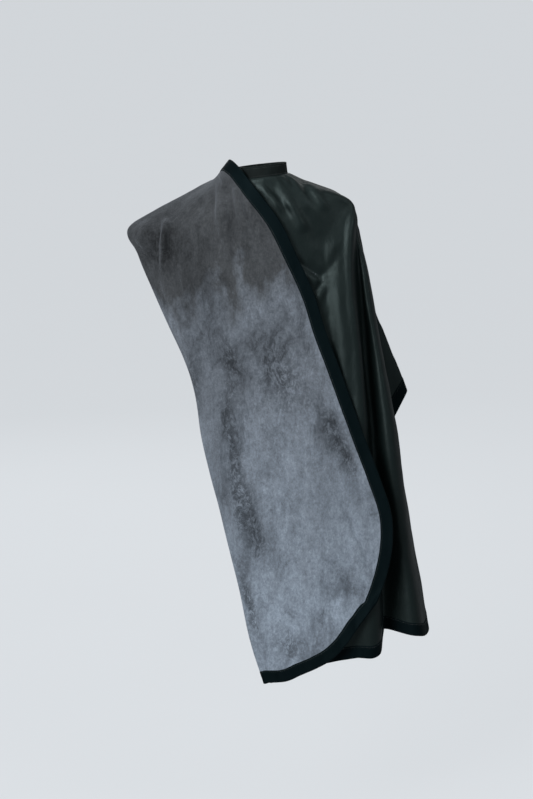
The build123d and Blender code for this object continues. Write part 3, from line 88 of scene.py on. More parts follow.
NECK_R, BAND_H = 52.0, 26.0
BINDING_W = 26.0
BAND_AXIS = np.array([-0.117, 0.082, 1.0])
TURN_A, TURN_B = np.array([-46.0, -104.0, 22.0]), np.array([38.0, -190.0, -1106.0])
BACK_A, BACK_B = np.array([9.0, 66.0, -112.0]), np.array([218.0, 172.0, -690.0])
MM = 0.001
lin = np.linspace


def unit(a):
    return a / np.maximum(np.linalg.norm(a, axis=-1, keepdims=True), 1e-9)


def spline(P, t, u):
    P, t, u = np.asarray(P, float), np.asarray(t, float), np.asarray(u, float)
    m = np.zeros_like(P)
    sh = (-1,) + (1,) * (P.ndim - 1)
    hf, hb = (t[2:] - t[1:-1]).reshape(sh), (t[1:-1] - t[:-2]).reshape(sh)
    m[1:-1] = ((P[2:] - P[1:-1]) / hf * hb + (P[1:-1] - P[:-2]) / hb * hf) / (hf + hb)
    m[0] = (P[1] - P[0]) / (t[1] - t[0])
    m[-1] = (P[-1] - P[-2]) / (t[-1] - t[-2])
    k = np.clip(np.searchsorted(t, u, side="right") - 1, 0, len(t) - 2)
    h = t[k + 1] - t[k]
    s = ((u - t[k]) / h).reshape(sh)
    h = h.reshape(sh)
    return ((1 + 2 * s) * (1 - s) ** 2 * P[k] + s * (1 - s) ** 2 * h * m[k]
            + s * s * (3 - 2 * s) * P[k + 1] + s * s * (s - 1) * h * m[k + 1])


def stations(net, axis):
    d = np.linalg.norm(np.diff(net, axis=axis), axis=2).mean(axis=1 - axis)
    t = np.r_[0, np.cumsum(d)]
    return t / t[-1]


def blur(g, n=1):
    for _ in range(n):
        p = np.pad(g, ((1, 1), (1, 1), (0, 0)), mode="edge")
        g = (p[:-2, 1:-1] + p[2:, 1:-1] + p[1:-1, :-2] + p[1:-1, 2:] + 2 * g) / 6
    return g


class Cloth:
    def __init__(self, net, s=None, n=(401, 401)):
        net = np.asarray(net, float)
        s = stations(net, 0) if s is None else np.asarray(s, float)
        v = stations(net, 1)
        a = spline(net, s, lin(0, 1, n[0]))
        self.g = np.transpose(spline(np.transpose(a, (1, 0, 2)), v, lin(0, 1, n[1])), (1, 0, 2))

    def grid_normals(self, hint_at, hint):
        n = unit(np.cross(np.gradient(self.g, axis=0), np.gradient(self.g, axis=1)))
        i, j = int(hint_at[0] * (n.shape[0] - 1)), int(hint_at[1] * (n.shape[1] - 1))
        self.sign = 1.0 if np.dot(n[i, j], hint) > 0 else -1.0
        return unit(blur(n * self.sign, 6))

    def read(self, arr, s, v):
        s, v = np.broadcast_arrays(np.asarray(s, float), np.asarray(v, float))
        n, m = arr.shape[:2]
        a, b = np.clip(s, 0, 1) * (n - 1), np.clip(v, 0, 1) * (m - 1)
        i, j = np.minimum(a.astype(int), n - 2), np.minimum(b.astype(int), m - 2)
        x, y = (a - i)[..., None], (b - j)[..., None]
        return ((1 - x) * (1 - y) * arr[i, j] + x * (1 - y) * arr[i + 1, j]
                + (1 - x) * y * arr[i, j + 1] + x * y * arr[i + 1, j + 1])

    def at(self, s, v):
        return self.read(self.g, s, v)

    def _d(self, s, v, e=0.01):
        a = (self.at(np.minimum(s + e, 1), v) - self.at(np.maximum(s - e, 0), v)) / (
            np.minimum(s + e, 1) - np.maximum(s - e, 0))[..., None]
        b = (self.at(s, np.minimum(v + e, 1)) - self.at(s, np.maximum(v - e, 0))) / (
            np.minimum(v + e, 1) - np.maximum(v - e, 0))[..., None]
        return a, b, np.linalg.norm(np.cross(a, b), axis=-1)

    def inset_s(self, s, v, d):
        s, v = np.broadcast_arrays(np.asarray(s, float), np.asarray(v, float))
        a, b, c = self._d(s, v)
        return d * np.linalg.norm(b, axis=-1) / c

    def inset_v(self, s, v, d):
        s, v = np.broadcast_arrays(np.asarray(s, float), np.asarray(v, float))
        a, b, c = self._d(s, v)
        return d * np.linalg.norm(a, axis=-1) / c


def smooth(x, a=0.0, b=1.0):
    x = np.clip((np.asarray(x, float) - a) / (b - a), 0, 1)
    return x * x * (3 - 2 * x)


def field(shape, du, dv, lu, lv, seed):
    """Band-limited random field on a grid of spacing du, dv mm with feature lengths lu, lv mm; unit spread."""
    r = np.random.default_rng(seed).standard_normal(shape)
    fu, fv = np.fft.fftfreq(shape[0], du)[:, None], np.fft.fftfreq(shape[1], dv)[None, :]
    k = np.exp(-0.5 * ((2 * math.pi * fu * lu * 0.5) ** 2 + (2 * math.pi * fv * lv * 0.5) ** 2))
    f = np.real(np.fft.ifft2(np.fft.fft2(r) * k))
    return (f - f.mean()) / max(f.std(), 1e-9)


def line_dist(x, z, pts):
    """(distance, side, share along) of points to a polyline in the front plane."""
    best = np.full(x.shape, 1e9)
    side = np.zeros(x.shape)
    along = np.zeros(x.shape)
    n = len(pts) - 1
    for i in range(n):
        (x0, z0), (x1, z1) = pts[i], pts[i + 1]
        dx, dz = x1 - x0, z1 - z0
        L2 = dx * dx + dz * dz
        t = np.clip(((x - x0) * dx + (z - z0) * dz) / L2, 0, 1)
        px, pz = x0 + t * dx, z0 + t * dz
        d = np.hypot(x - px, z - pz)
        c = np.sign((x - x0) * dz - (z - z0) * dx)
        take = d < best
        best = np.where(take, d, best)
        side = np.where(take, c, side)
        along = np.where(take, (i + t) / n, along)
    return best, side, along


def ridge(x, z, pts, amp, w, ends=0.25):
    d, _, t = line_dist(x, z, pts)
    return amp * np.exp(-(d / w) ** 2) * smooth(t, 0.0, ends) ** 0.5 * smooth(1 - t, 0.0, ends) ** 0.5


def bend_step(x, z, pts, amp, w, reach):
    """One side of the line lies lower than the other, fading away from it."""
    d, c, t = line_dist(x, z, pts)
    return amp * np.tanh(c * d / w) * np.exp(-(d / reach) ** 2) * smooth(t, 0, 0.2) * smooth(1 - t, 0, 0.2)


# ------------------------------------------------------------------ cloth surfaces with their folds
main = Cloth(MAIN_NET, n=(561, 401))
turned = Cloth(TURNED_NET, TURNED_S, n=(361, 481))
back = Cloth(BACK_NET, n=(161, 301))
N_main = main.grid_normals((0.3, 0.5), (0, -1, 0))
N_turned = turned.grid_normals((0.5, 0.5), (0, -1, 0))
N_back = back.grid_normals((0.5, 0.5), (0, 1, 0))


def main_folds():
    x, y, z = (main.g[..., k] for k in range(3))
    s = lin(0, 1, main.g.shape[0])[:, None] + 0 * x
    v = lin(0, 1, main.g.shape[1])[None, :] + 0 * x
    front = smooth(-y, -5, 25) * smooth(x, -60, 20)
    d = np.zeros_like(x)
    # soft creases on the chest, from the neck seam and from the point of the bust
    d += front * (ridge(x, z, [(-13, -22), (4, -33), (25, -52), (44, -80)], 5.6, 7)
                  + ridge(x, z, [(14, -16), (42, -56), (60, -92)], -4.2, 8)
                  + ridge(x, z, [(50, -48), (66, -70), (80, -96), (94, -122)], 6.0, 9)
                  + ridge(x, z, [(52, 0), (69, -17), (93, -50)], 3.4, 6)
                  + ridge(x, z, [(72, -4), (98, -34), (122, -74)], -3.2, 8)
                  + ridge(x, z, [(85, -11), (112, -38), (142, -80)], 4.0, 8)
                  + ridge(x, z, [(92, -70), (112, -110), (118, -160)], -2.6, 12)
                  + ridge(x, z, [(74, -180), (106, -203), (134, -223)], -6.0, 7, 0.15)
                  + ridge(x, z, [(66, -200), (98, -216), (122, -231)], 4.6, 8, 0.15)
                  + ridge(x, z, [(135, -226), (122, -242), (106, -262)], -5.0, 6, 0.15)
                  + ridge(x, z, [(137, -238), (128, -256), (118, -280)], 3.4, 7)
                  + ridge(x, z, [(135, -226), (149, -201), (170, -157), (189, -99)], -3.6, 12)
                  + ridge(x, z, [(135, -226), (133, -187), (129, -121)], -2.8, 10)
                  + ridge(x, z, [(135, -228), (141, -270), (152, -354), (164, -450)], -3.4, 11)
                  + ridge(x, z, [(160, -210), (166, -280), (180, -380), (190, -470)], 3.4, 15))
    # a crisp fold edge down from the shoulder, with the hollow beside it
    side = smooth(-y, -30, 15)
    d += side * (ridge(x, z, [(195, -86), (189, -136), (186, -205), (191, -275), (202, -375), (212, -480), (218, -570)], 5.4, 8, 0.1)
                 + ridge(x, z, [(199, -108), (205, -191), (213, -290), (226, -400), (238, -500), (252, -610), (262, -700)], -7.0, 11)
                 + ridge(x, z, [(206, -125), (220, -205), (234, -290), (252, -400), (266, -520), (282, -660), (296, -800)], 4.0, 12))
    # long soft waves
    du, dv = 2.6, 2.8
    w = field(x.shape, du, dv, 80, 240, 11) * 3.0 + field(x.shape, du, dv, 30, 110, 12) * 1.1 + field(x.shape, du, dv, 12, 24, 13) * 0.22
    d += w * smooth(v, 0.02, 0.2)
    # gathers at the neck seam
    d += 0.55 * np.sin(s * 2 * math.pi * 34 + 1.3 * np.sin(s * 23)) * np.exp(-(v / 0.05) ** 2) * smooth(v, 0, 0.012)
    # hanging folds at the back and the side
    hang = smooth(s, 0.80, 0.90) * smooth(v, 0.12, 0.7)
    d += hang * (5.0 * np.sin((s - 0.8) * 2 * math.pi * 11 + 0.6) + 2.0 * np.sin((s - 0.8) * 2 * math.pi * 23 + v * 2.0)) * smooth(1 - s, 0.0, 0.03)
    # hem flips a little
    d += smooth(v, 0.90, 1.0) * 1.1 * np.sin(s * 2 * math.pi * 9 + 0.4)
    # flat where the turned panel lies over it
    rim = np.concatenate([turned.g[-1, 30:], turned.g[::-1, -1]])
    order = np.argsort(-rim[:, 2])
    over = np.interp(-z, -rim[order, 2], rim[order, 0])
    under = smooth(over - x, -4, 40) * smooth(-y, -25, 15)
    under = np.maximum(under, smooth(0.10 - s, 0, 0.05))
    d *= 1 - 0.93 * under
    d *= smooth(s, 0.0, 0.015)
    d *= smooth(1 - s, 0.0, 0.02)
    return d


def turned_folds():
    x, y, z = (turned.g[..., k] for k in range(3))
    s = lin(0, 1, turned.g.shape[0])[:, None] + 0 * x
    v = lin(0, 1, turned.g.shape[1])[None, :] + 0 * x
    d = np.zeros_like(x)
    d += bend_step(x, z, [(-166, -150), (-160, -220), (-156, -300), (-150, -380), (-146, -440), (-143, -492)], 2.6, 6, 40)
    d += ridge(x, z, [(-152, -210), (-148, -310), (-142, -400), (-138, -490)], 2.4, 7)
    d += ridge(x, z, [(-84, -24), (-79, -70), (-72, -135), (-64, -190)], 4.2, 8)
    d += ridge(x, z, [(-70, -18), (-62, -60), (-46, -145)], -3.4, 7)
    d += ridge(x, z, [(-57, -22), (-46, -70), (-32, -125)], 2.6, 6)
    d += ridge(x, z, [(-46, -22), (-32, -70), (-10, -130)], -2.2, 7)
    d += ridge(x, z, [(-98, -24), (-100, -60), (-103, -110)], -2.8, 8)
    d += ridge(x, z, [(-202, -100), (-206, -190), (-200, -285)], 3.4, 10)
    d += ridge(x, z, [(-184, -96), (-182, -170), (-174, -260)], -2.4, 11)
    d += ridge(x, z, [(-220, -100), (-238, -195)], -2.8, 9)
    d += ridge(x, z, [(-246, -108), (-264, -160)], 2.2, 8)
    d += ridge(x, z, [(160, -645), (184, -722), (211, -785), (244, -862)], -2.8, 7)
    d += ridge(x, z, [(146, -655), (170, -735), (196, -800), (226, -870)], 1.4, 10)
    d += ridge(x, z, [(-40, -690), (-24, -790), (4, -900), (20, -1000)], -1.5, 9)
    d += ridge(x, z, [(-66, -640), (-52, -740), (-36, -850)], 1.6, 10)
    d += ridge(x, z, [(-100, -520), (-86, -600), (-70, -690)], 1.4, 9)
    d += ridge(x, z, [(60, -330), (86, -470), (110, -620)], 1.6, 26)
    d += ridge(x, z, [(-30, -300), (-18, -420), (0, -560)], -1.4, 22)
    d += ridge(x, z, [(120, -900), (90, -980), (50, -1040)], 1.2, 18)
    # pointed fold at the shoulder and the gathers beside the neck
    d += ridge(x, z, [(-207, -100), (-210, -150), (-213, -215)], 4.6, 6)
    d += ridge(x, z, [(-206, -112), (-222, -145), (-240, -185)], -3.4, 6)
    d += ridge(x, z, [(-199, -112), (-196, -150), (-193, -195)], -3.0, 6)
    d += ridge(x, z, [(-89, -8), (-78, -22), (-68, -40)], 2.4, 4)
    d += ridge(x, z, [(-95, -26), (-90, -80), (-82, -140)], 3.0, 6)
    d += ridge(x, z, [(-84, -34), (-66, -95), (-47, -160)], -2.6, 7)
    du, dv = 1.6, 2.4
    d *= 1.5
    w = field(x.shape, du, dv, 60, 260, 21) * 1.9 + field(x.shape, du, dv, 24, 110, 22) * 0.8 + field(x.shape, du, dv, 8, 16, 23) * 0.14
    d += w * smooth(v, 0.10, 0.25)
    edge = smooth(1 - s, 0.0, 0.12) * 0.7 + 0.3
    d *= edge * smooth(s, 0.0, 0.05) * smooth(v, 0.03, 0.11)
    d = np.where(d < 0, -3.6 * np.tanh(-d / 3.6), d)
    d *= np.where(d < 0, 0.35 + 0.65 * smooth(s, 0.04, 0.30), 1.0)
    return d


def back_folds():
    x = back.g[..., 0]
    s = lin(0, 1, back.g.shape[0])[:, None] + 0 * x
    v = lin(0, 1, back.g.shape[1])[None, :] + 0 * x
    d = 4.5 * np.sin(s * 2 * math.pi * 1.6 + 0.5) * smooth(v, 0.25, 0.9)
    d += field(x.shape, 1.5, 2.4, 40, 160, 31) * 1.0 + field(x.shape, 1.5, 2.4, 14, 60, 32) * 0.35
    d *= smooth(s, 0.0, 0.12) * smooth(v, 0.0, 0.12)
    return d


# the cloth draws in along the wearer's right shoulder and edge, and a little at the left shoulder: x, z, dx, dz
DRAW_RIGHT = np.array([(-34, -4, 0, 0), (-66, -12, 0, 0), (-101, -21, 2.5, -5.5), (-123, -25, 5.0, -9.5), (-151, -36, 6.0, -11.4),
                       (-180, -51, 6.0, -11.4), (-207, -64, 5.8, -11.0), (-233, -80, 5.2, -9.8), (-259, -96, 4.6, -8.6),
                       (-284, -114, 4.5, -5.0), (-297, -140, 11.0, 4.0), (-285, -165, 15.0, 3.6), (-269, -197, 9.0, 3.4),
                       (-242, -257, 9.0, 4.0), (-214, -319, 8.0, 3.6), (-185, -379, 7.6, 3.2), (-161, -440, 8.0, 3.0),
                       (-143, -507, 6.4, 1.6), (-134, -573, 7.2, 1.4), (-119, -638, 7.0, 1.8), (-101, -700, 5.0, 1.2),
                       (-83, -766, 4.4, 1.1), (-67, -830, 4.6, 1.2), (-50, -893, 4.6, 1.1), (-36, -960, 4.8, 1.0),
                       (-18, -1023, 3.4, 0.6), (7, -1086, 2.0, 0.3)], float)
DRAW_LEFT = np.array([(58, -4, 0, 0), (76, -11, -1, -3.6), (98, -17, -1.9, -5.8), (139, -30, -3.3, -7.1), (163, -43, -2.8, -5.0),
                      (185, -56, -3.2, -3.8), (197, -69, -4.8, -2.8), (204, -82, -7.0, -1.5), (206, -95, -6.0, 0), (206, -121, -2.5, 0),
                      (213, -147, -1.5, 0), (221, -199, 0, 0)], float)


def draw_in(g, table, reach):
    x, z = g[..., 0], g[..., 2]
    pts = table[:, :2]
    gap = np.linalg.norm(np.diff(pts, axis=0), axis=1)
    sig = 0.75 * np.minimum(np.r_[gap[0], gap], np.r_[gap, gap[-1]])
    wsum, dx, dz = 1e-12, 0.0, 0.0
    for (px, pz, ax, az), s_ in zip(table, sig):
        w = np.exp(-np.minimum(np.hypot(x - px, z - pz) / s_, 24.0)) + 1e-10 / (1 + np.hypot(x - px, z - pz))
        wsum, dx, dz = wsum + w, dx + w * ax, dz + w * az
    k = 1 - smooth(line_dist(x, z, [tuple(p) for p in pts])[0], 0, reach)
    out = g.copy()
    out[..., 0] += dx / wsum * k
    out[..., 2] += dz / wsum * k
    return out


main.g = draw_in(draw_in(main.g, DRAW_RIGHT, 130.0), DRAW_LEFT, 60.0)
turned.g = draw_in(turned.g, DRAW_RIGHT, 130.0)
N_main = main.grid_normals((0.3, 0.5), (0, -1, 0))
N_turned = turned.grid_normals((0.5, 0.5), (0, -1, 0))
main.g = main.g + N_main * main_folds()[..., None]
turned.g = turned.g + N_turned * turned_folds()[..., None]
back.g = back.g + N_back * back_folds()[..., None]
N_main = main.grid_normals((0.3, 0.5), (0, -1, 0))
N_turned = turned.grid_normals((0.5, 0.5), (0, -1, 0))
N_back = back.grid_normals((0.5, 0.5), (0, 1, 0))



def seat_neck():
    """Runs the top of the main cloth up into the lower edge of the neckband."""
    bz = unit(BAND_AXIS)
    bx = unit(np.array([1.0, 0, 0]) - bz[0] * bz)
    by = np.cross(bz, bx)
    p = main.g[:, 0]
    a = np.arctan2(p @ by, p @ bx)
    q = (np.cos(a)[:, None] * bx + np.sin(a)[:, None] * by) * 54.6 + bz * (1.5 - BAND_H / 2)
    v = lin(0, 1, main.g.shape[1])
    main.g = main.g + (q - p)[:, None] * (1 - smooth(v, 0, 0.035))[None, :, None]


seat_neck()
crease_main = main.g[0]


def fold_round(v, betas):
    pf = turned.at(np.zeros(len(v)), v)
    inner = turned.at(np.full(len(v), 0.1), v)
    e = 0.01
    tang = unit(turned.at(np.zeros(len(v)), np.minimum(v + e, 1)) - turned.at(np.zeros(len(v)), np.maximum(v - e, 0)))
    dist = np.linalg.norm(pf[:, None] - crease_main[None], axis=2)
    k = dist.argmin(1)
    pm = crease_main[k]
    off = np.sum((pm - pf) * tang, axis=1, keepdims=True)
    pm = pm - tang * np.clip(off, -1.5, 1.5)
    h = (pf - pm) / 2
    c = (pf + pm) / 2
    o = unit(np.cross(tang, h))
    o *= np.where(np.sum(o * (inner - pf), axis=1) < 0, 1.0, -1.0)[:, None]
    r = np.linalg.norm(h, axis=1, keepdims=True)
    return np.stack([c - h * math.cos(b) + o * r * math.sin(b) for b in betas], 0)


# ------------------------------------------------------------------ meshes
def mesh_object(name, verts, faces, mat, uv=None, attrs=None, smooth_shade=True):
    me = bpy.data.meshes.new(name)
    verts = np.asarray(verts, float) * MM
    me.from_pydata(verts.tolist(), [], faces)
    me.validate(clean_customdata=False)
    if uv is not None:
        layer = me.uv_layers.new(name="cloth")
        idx = np.zeros(len(me.loops), np.int32)
        me.loops.foreach_get("vertex_index", idx)
        layer.data.foreach_set("uv", np.asarray(uv, np.float32)[idx].ravel())
    for k, a in (attrs or {}).items():
        a = np.asarray(a, np.float32)
        kind = "FLOAT" if a.ndim == 1 else "FLOAT_VECTOR"
        at = me.attributes.new(k, kind, "POINT")
        at.data.foreach_set("value" if a.ndim == 1 else "vector", a.ravel())
    me.materials.append(mat)
    if smooth_shade:
        me.polygons.foreach_set("use_smooth", np.ones(len(me.polygons), bool))
    o = bpy.data.objects.new(name, me)
    bpy.context.scene.collection.objects.link(o)
    return o


def sheet(name, g, n, low, high, mat, uv, attrs=None, edge_round=0.5):
    """A closed thin cloth of the grid g, from low to high along n."""
    nu, nv = g.shape[:2]
    a = g + n * high
    b = g + n * low
    verts = np.concatenate([a.reshape(-1, 3), b.reshape(-1, 3)])
    off = nu * nv
    I, J = np.meshgrid(np.arange(nu - 1), np.arange(nv - 1), indexing="ij")
    q = (I * nv + J).ravel()
    top = np.stack([q, q + nv, q + nv + 1, q + 1], 1)
    bot = top[:, ::-1] + off
    rim = np.array([i * nv for i in range(nu)] + [(nu - 1) * nv + j for j in range(1, nv)]
                   + [i * nv + nv - 1 for i in range(nu - 2, -1, -1)] + [j for j in range(nv - 2, 0, -1)])
    nxt = np.roll(rim, -1)
    side = np.stack([nxt, rim, rim + off, nxt + off], 1)
    faces = np.concatenate([top, bot, side]).tolist()
    # consistent outward winding
    t = top[len(top) // 2]
    w = np.cross(verts[t[1]] - verts[t[0]], verts[t[2]] - verts[t[0]])
    if np.dot(w, (verts[t[0]] - verts[t[0] + off])) * (1 if high > low else -1) < 0:
        faces = [f[::-1] for f in faces]
    uv2 = np.concatenate([uv.reshape(-1, 2)] * 2)
    at = {"rest": np.concatenate([g.reshape(-1, 3)] * 2) * MM}
    for k, v in (attrs or {}).items():
        at[k] = np.concatenate([np.asarray(v).ravel()] * 2)
    return mesh_object(name, verts, faces, mat, uv2, at)


def cloth_uv(g):
    """Cloth coordinates in metres: across and down."""
    du = np.linalg.norm(np.diff(g, axis=0), axis=2)
    dv = np.linalg.norm(np.diff(g, axis=1), axis=2)
    u = np.concatenate([np.zeros((1, g.shape[1])), np.cumsum(du, 0)]) * MM
    v = np.concatenate([np.zeros((g.shape[0], 1)), np.cumsum(dv, 1)], 1) * MM
    return np.stack([u, v], -1)


def loft(name, P, mat, closed_u=False, closed_v=True, uv=None, caps=True, attrs=None):
    """Surface through rings P[i, j]; j runs round the section."""
    nu, nv = P.shape[:2]
    verts = P.reshape(-1, 3)
    faces = []
    for i in range(nu if closed_u else nu - 1):
        i2 = (i + 1) % nu
        for j in range(nv if closed_v else nv - 1):
            j2 = (j + 1) % nv
            faces.append((i * nv + j, i2 * nv + j, i2 * nv + j2, i * nv + j2))
    if caps and not closed_u:
        faces.append(tuple(range(nv)))
        faces.append(tuple((nu - 1) * nv + j for j in range(nv - 1, -1, -1)))
    if uv is None:
        L = np.r_[0, np.cumsum(np.linalg.norm(np.diff(P.mean(1), axis=0), axis=1))] * MM
        W = np.concatenate([np.zeros((nu, 1)), np.cumsum(np.linalg.norm(np.diff(P, axis=1), axis=2), 1)], 1) * MM
        uv = np.stack([np.broadcast_to(L[:, None], (nu, nv)), W], -1)
    a = {"rest": verts * MM}
    o = mesh_object(name, verts, faces, mat, uv.reshape(-1, 2), a)
    bm_fix(o)
    return o


def bm_fix(o):
    import bmesh
    bm = bmesh.new()
    bm.from_mesh(o.data)
    bmesh.ops.recalc_face_normals(bm, faces=bm.faces)
    bm.to_mesh(o.data)
    bm.free()


def tape(name, inner, outer, n, mat, hi, lo, swell=0.9, rows=9):
    """Binding tape folded round an edge: inner and outer edge paths, cloth normal n along them."""
    m = len(inner)
    seg = []
    t = lin(0, 1, rows)
    wid = np.linalg.norm(outer - inner, axis=1, keepdims=True)
    for k in t:       # outer face, from the stitched edge to the rim
        p = inner + (outer - inner) * k
        h = hi + swell * (0.45 + 0.55 * smooth(k, 0.0, 0.10)) - 0.25 * math.exp(-((k - 0.13) / 0.035) ** 2)
        seg.append(p + n * h)
    mid = (hi + lo) / 2
    r = (hi - lo) / 2 + swell
    out = unit(outer - inner)
    for b in (60, 30, 0, -30, -60):
        c, s_ = math.cos(math.radians(b)), math.sin(math.radians(b))
        seg.append(outer + out * (r * 0.55 * c) + n * (mid + r * s_))
    for k in t[::-1]:
        p = inner + (outer - inner) * k
        h = lo - swell * (0.45 + 0.55 * smooth(k, 0.0, 0.10)) + 0.25 * math.exp(-((k - 0.13) / 0.035) ** 2)
        seg.append(p + n * h)
    P = np.stack(seg, 1)
    return loft(name, P, mat)


def stitches(name, path, n, mat, pitch=4.2, length=2.9, r=0.32):
    """A row of thread stitches lying on a path."""
    L = np.r_[0, np.cumsum(np.linalg.norm(np.diff(path, axis=0), axis=1))]
    k = int(L[-1] / pitch)
    verts, faces = [], []
    prof = [(-0.5, 0.35), (-0.38, 0.9), (0.0, 1.0), (0.38, 0.9), (0.5, 0.35)]
    at = (np.arange(k) + 0.5) * pitch
    C = np.stack([np.interp(at, L, path[:, i]) for i in range(3)], 1)
    T = unit(np.stack([np.interp(at + 1.0, L, path[:, i]) - np.interp(at - 1.0, L, path[:, i]) for i in range(3)], 1))
    Nn = unit(np.stack([np.interp(at, L, n[:, i]) for i in range(3)], 1))
    B = unit(np.cross(T, Nn))
    for q in range(k):
        base = len(verts)
        for a, w in prof:
            lift = r * (0.9 - 3.0 * a * a)
            for ang in (0, 72, 144, 216, 288):
                c, s_ = math.cos(math.radians(ang)), math.sin(math.radians(ang))
                verts.append(C[q] + T[q] * (a * length) + B[q] * (c * r * w) + Nn[q] * (s_ * r * w + lift))
        for i in range(len(prof) - 1):
            for j in range(5):
                faces.append((base + i * 5 + j, base + i * 5 + (j + 1) % 5, base + (i + 1) * 5 + (j + 1) % 5, base + (i + 1) * 5 + j))
        faces.append(tuple(base + j for j in range(4, -1, -1)))
        faces.append(tuple(base + 20 + j for j in range(5)))
    return mesh_object(name, np.array(verts), faces, mat)


# ------------------------------------------------------------------ materials
def lin_rgb(r, g, b):
    f = lambda c: (c / 12.92 if c <= 0.04045 else ((c + 0.055) / 1.055) ** 2.4)
    return (f(r / 255), f(g / 255), f(b / 255), 1.0)


class Nodes:
    def __init__(self, name):
        self.mat = bpy.data.materials.new(name)
        self.mat.use_nodes = True
        self.t = self.mat.node_tree
        self.bsdf = next(n for n in self.t.nodes if n.type == "BSDF_PRINCIPLED")
        self.out = next(n for n in self.t.nodes if n.type == "OUTPUT_MATERIAL")

    def add(self, kind, **kw):
        n = self.t.nodes.new(kind)
        for k, v in kw.items():
            setattr(n, k, v)
        return n

    def link(self, a, b):
        self.t.links.new(a, b)

    def attr(self, name):
        return self.add("ShaderNodeAttribute", attribute_name=name)

    def value(self, v):
        n = self.add("ShaderNodeValue")
        n.outputs[0].default_value = v
        return n.outputs[0]

    def math(self, op, a, b=None, c=None, clamp=False):
        n = self.add("ShaderNodeMath", operation=op, use_clamp=clamp)
        for i, x in enumerate((a, b, c)):
            if x is None:
                continue
            if isinstance(x, (int, float)):
                n.inputs[i].default_value = x
            else:
                self.link(x, n.inputs[i])
        return n.outputs[0]

    def mix(self, fac, a, b, blend="MIX"):
        n = self.add("ShaderNodeMix", data_type="RGBA", blend_type=blend)
        for sock, x in ((n.inputs[0], fac), (n.inputs[6], a), (n.inputs[7], b)):
            if isinstance(x, (int, float, tuple)):
                sock.default_value = x
            else:
                self.link(x, sock)
        return n.outputs[2]

    def scaled(self, vec, scale):
        n = self.add("ShaderNodeMapping", vector_type="POINT")
        n.inputs["Scale"].default_value = scale
        self.link(vec, n.inputs["Vector"])
        return n.outputs[0]

    def noise(self, vec, scale, detail=3.0, rough=0.55, dist=0.0):
        n = self.add("ShaderNodeTexNoise")
        n.inputs["Scale"].default_value = scale
        n.inputs["Detail"].default_value = detail
        n.inputs["Roughness"].default_value = rough
        n.inputs["Distortion"].default_value = dist
        self.link(vec, n.inputs["Vector"])
        return n.outputs["Fac"]

    def ramp(self, fac, stops, interp="LINEAR"):
        n = self.add("ShaderNodeValToRGB")
        cr = n.color_ramp
        cr.interpolation = interp
        while len(cr.elements) < len(stops):
            cr.elements.new(0.5)
        for e, (p, c) in zip(cr.elements, stops):
            e.position = p
            e.color = c if len(c) == 4 else (*c, 1.0)
        self.link(fac, n.inputs[0])
        return n.outputs[0]

    def bump(self, height, strength, distance, normal=None):
        n = self.add("ShaderNodeBump")
        n.inputs["Strength"].default_value = strength
        n.inputs["Distance"].default_value = distance
        self.link(height, n.inputs["Height"])
        if normal is not None:
            self.link(normal, n.inputs["Normal"])
        return n.outputs[0]

    def set(self, **kw):
        for k, v in kw.items():
            s = self.bsdf.inputs[k.replace("_", " ")]
            if isinstance(v, (int, float, tuple)):
                s.default_value = v
            else:
                self.link(v, s)


def weave(N, vec, warp, weft):
    """Height of a plain weave; vec in metres, warp and weft in threads per metre."""
    sep = N.add("ShaderNodeSeparateXYZ")
    N.link(vec, sep.inputs[0])
    a = N.math("SINE", N.math("MULTIPLY", sep.outputs[0], warp * 2 * math.pi))
    b = N.math("SINE", N.math("MULTIPLY", sep.outputs[1], weft * 2 * math.pi))
    return N.math("MULTIPLY", a, b)


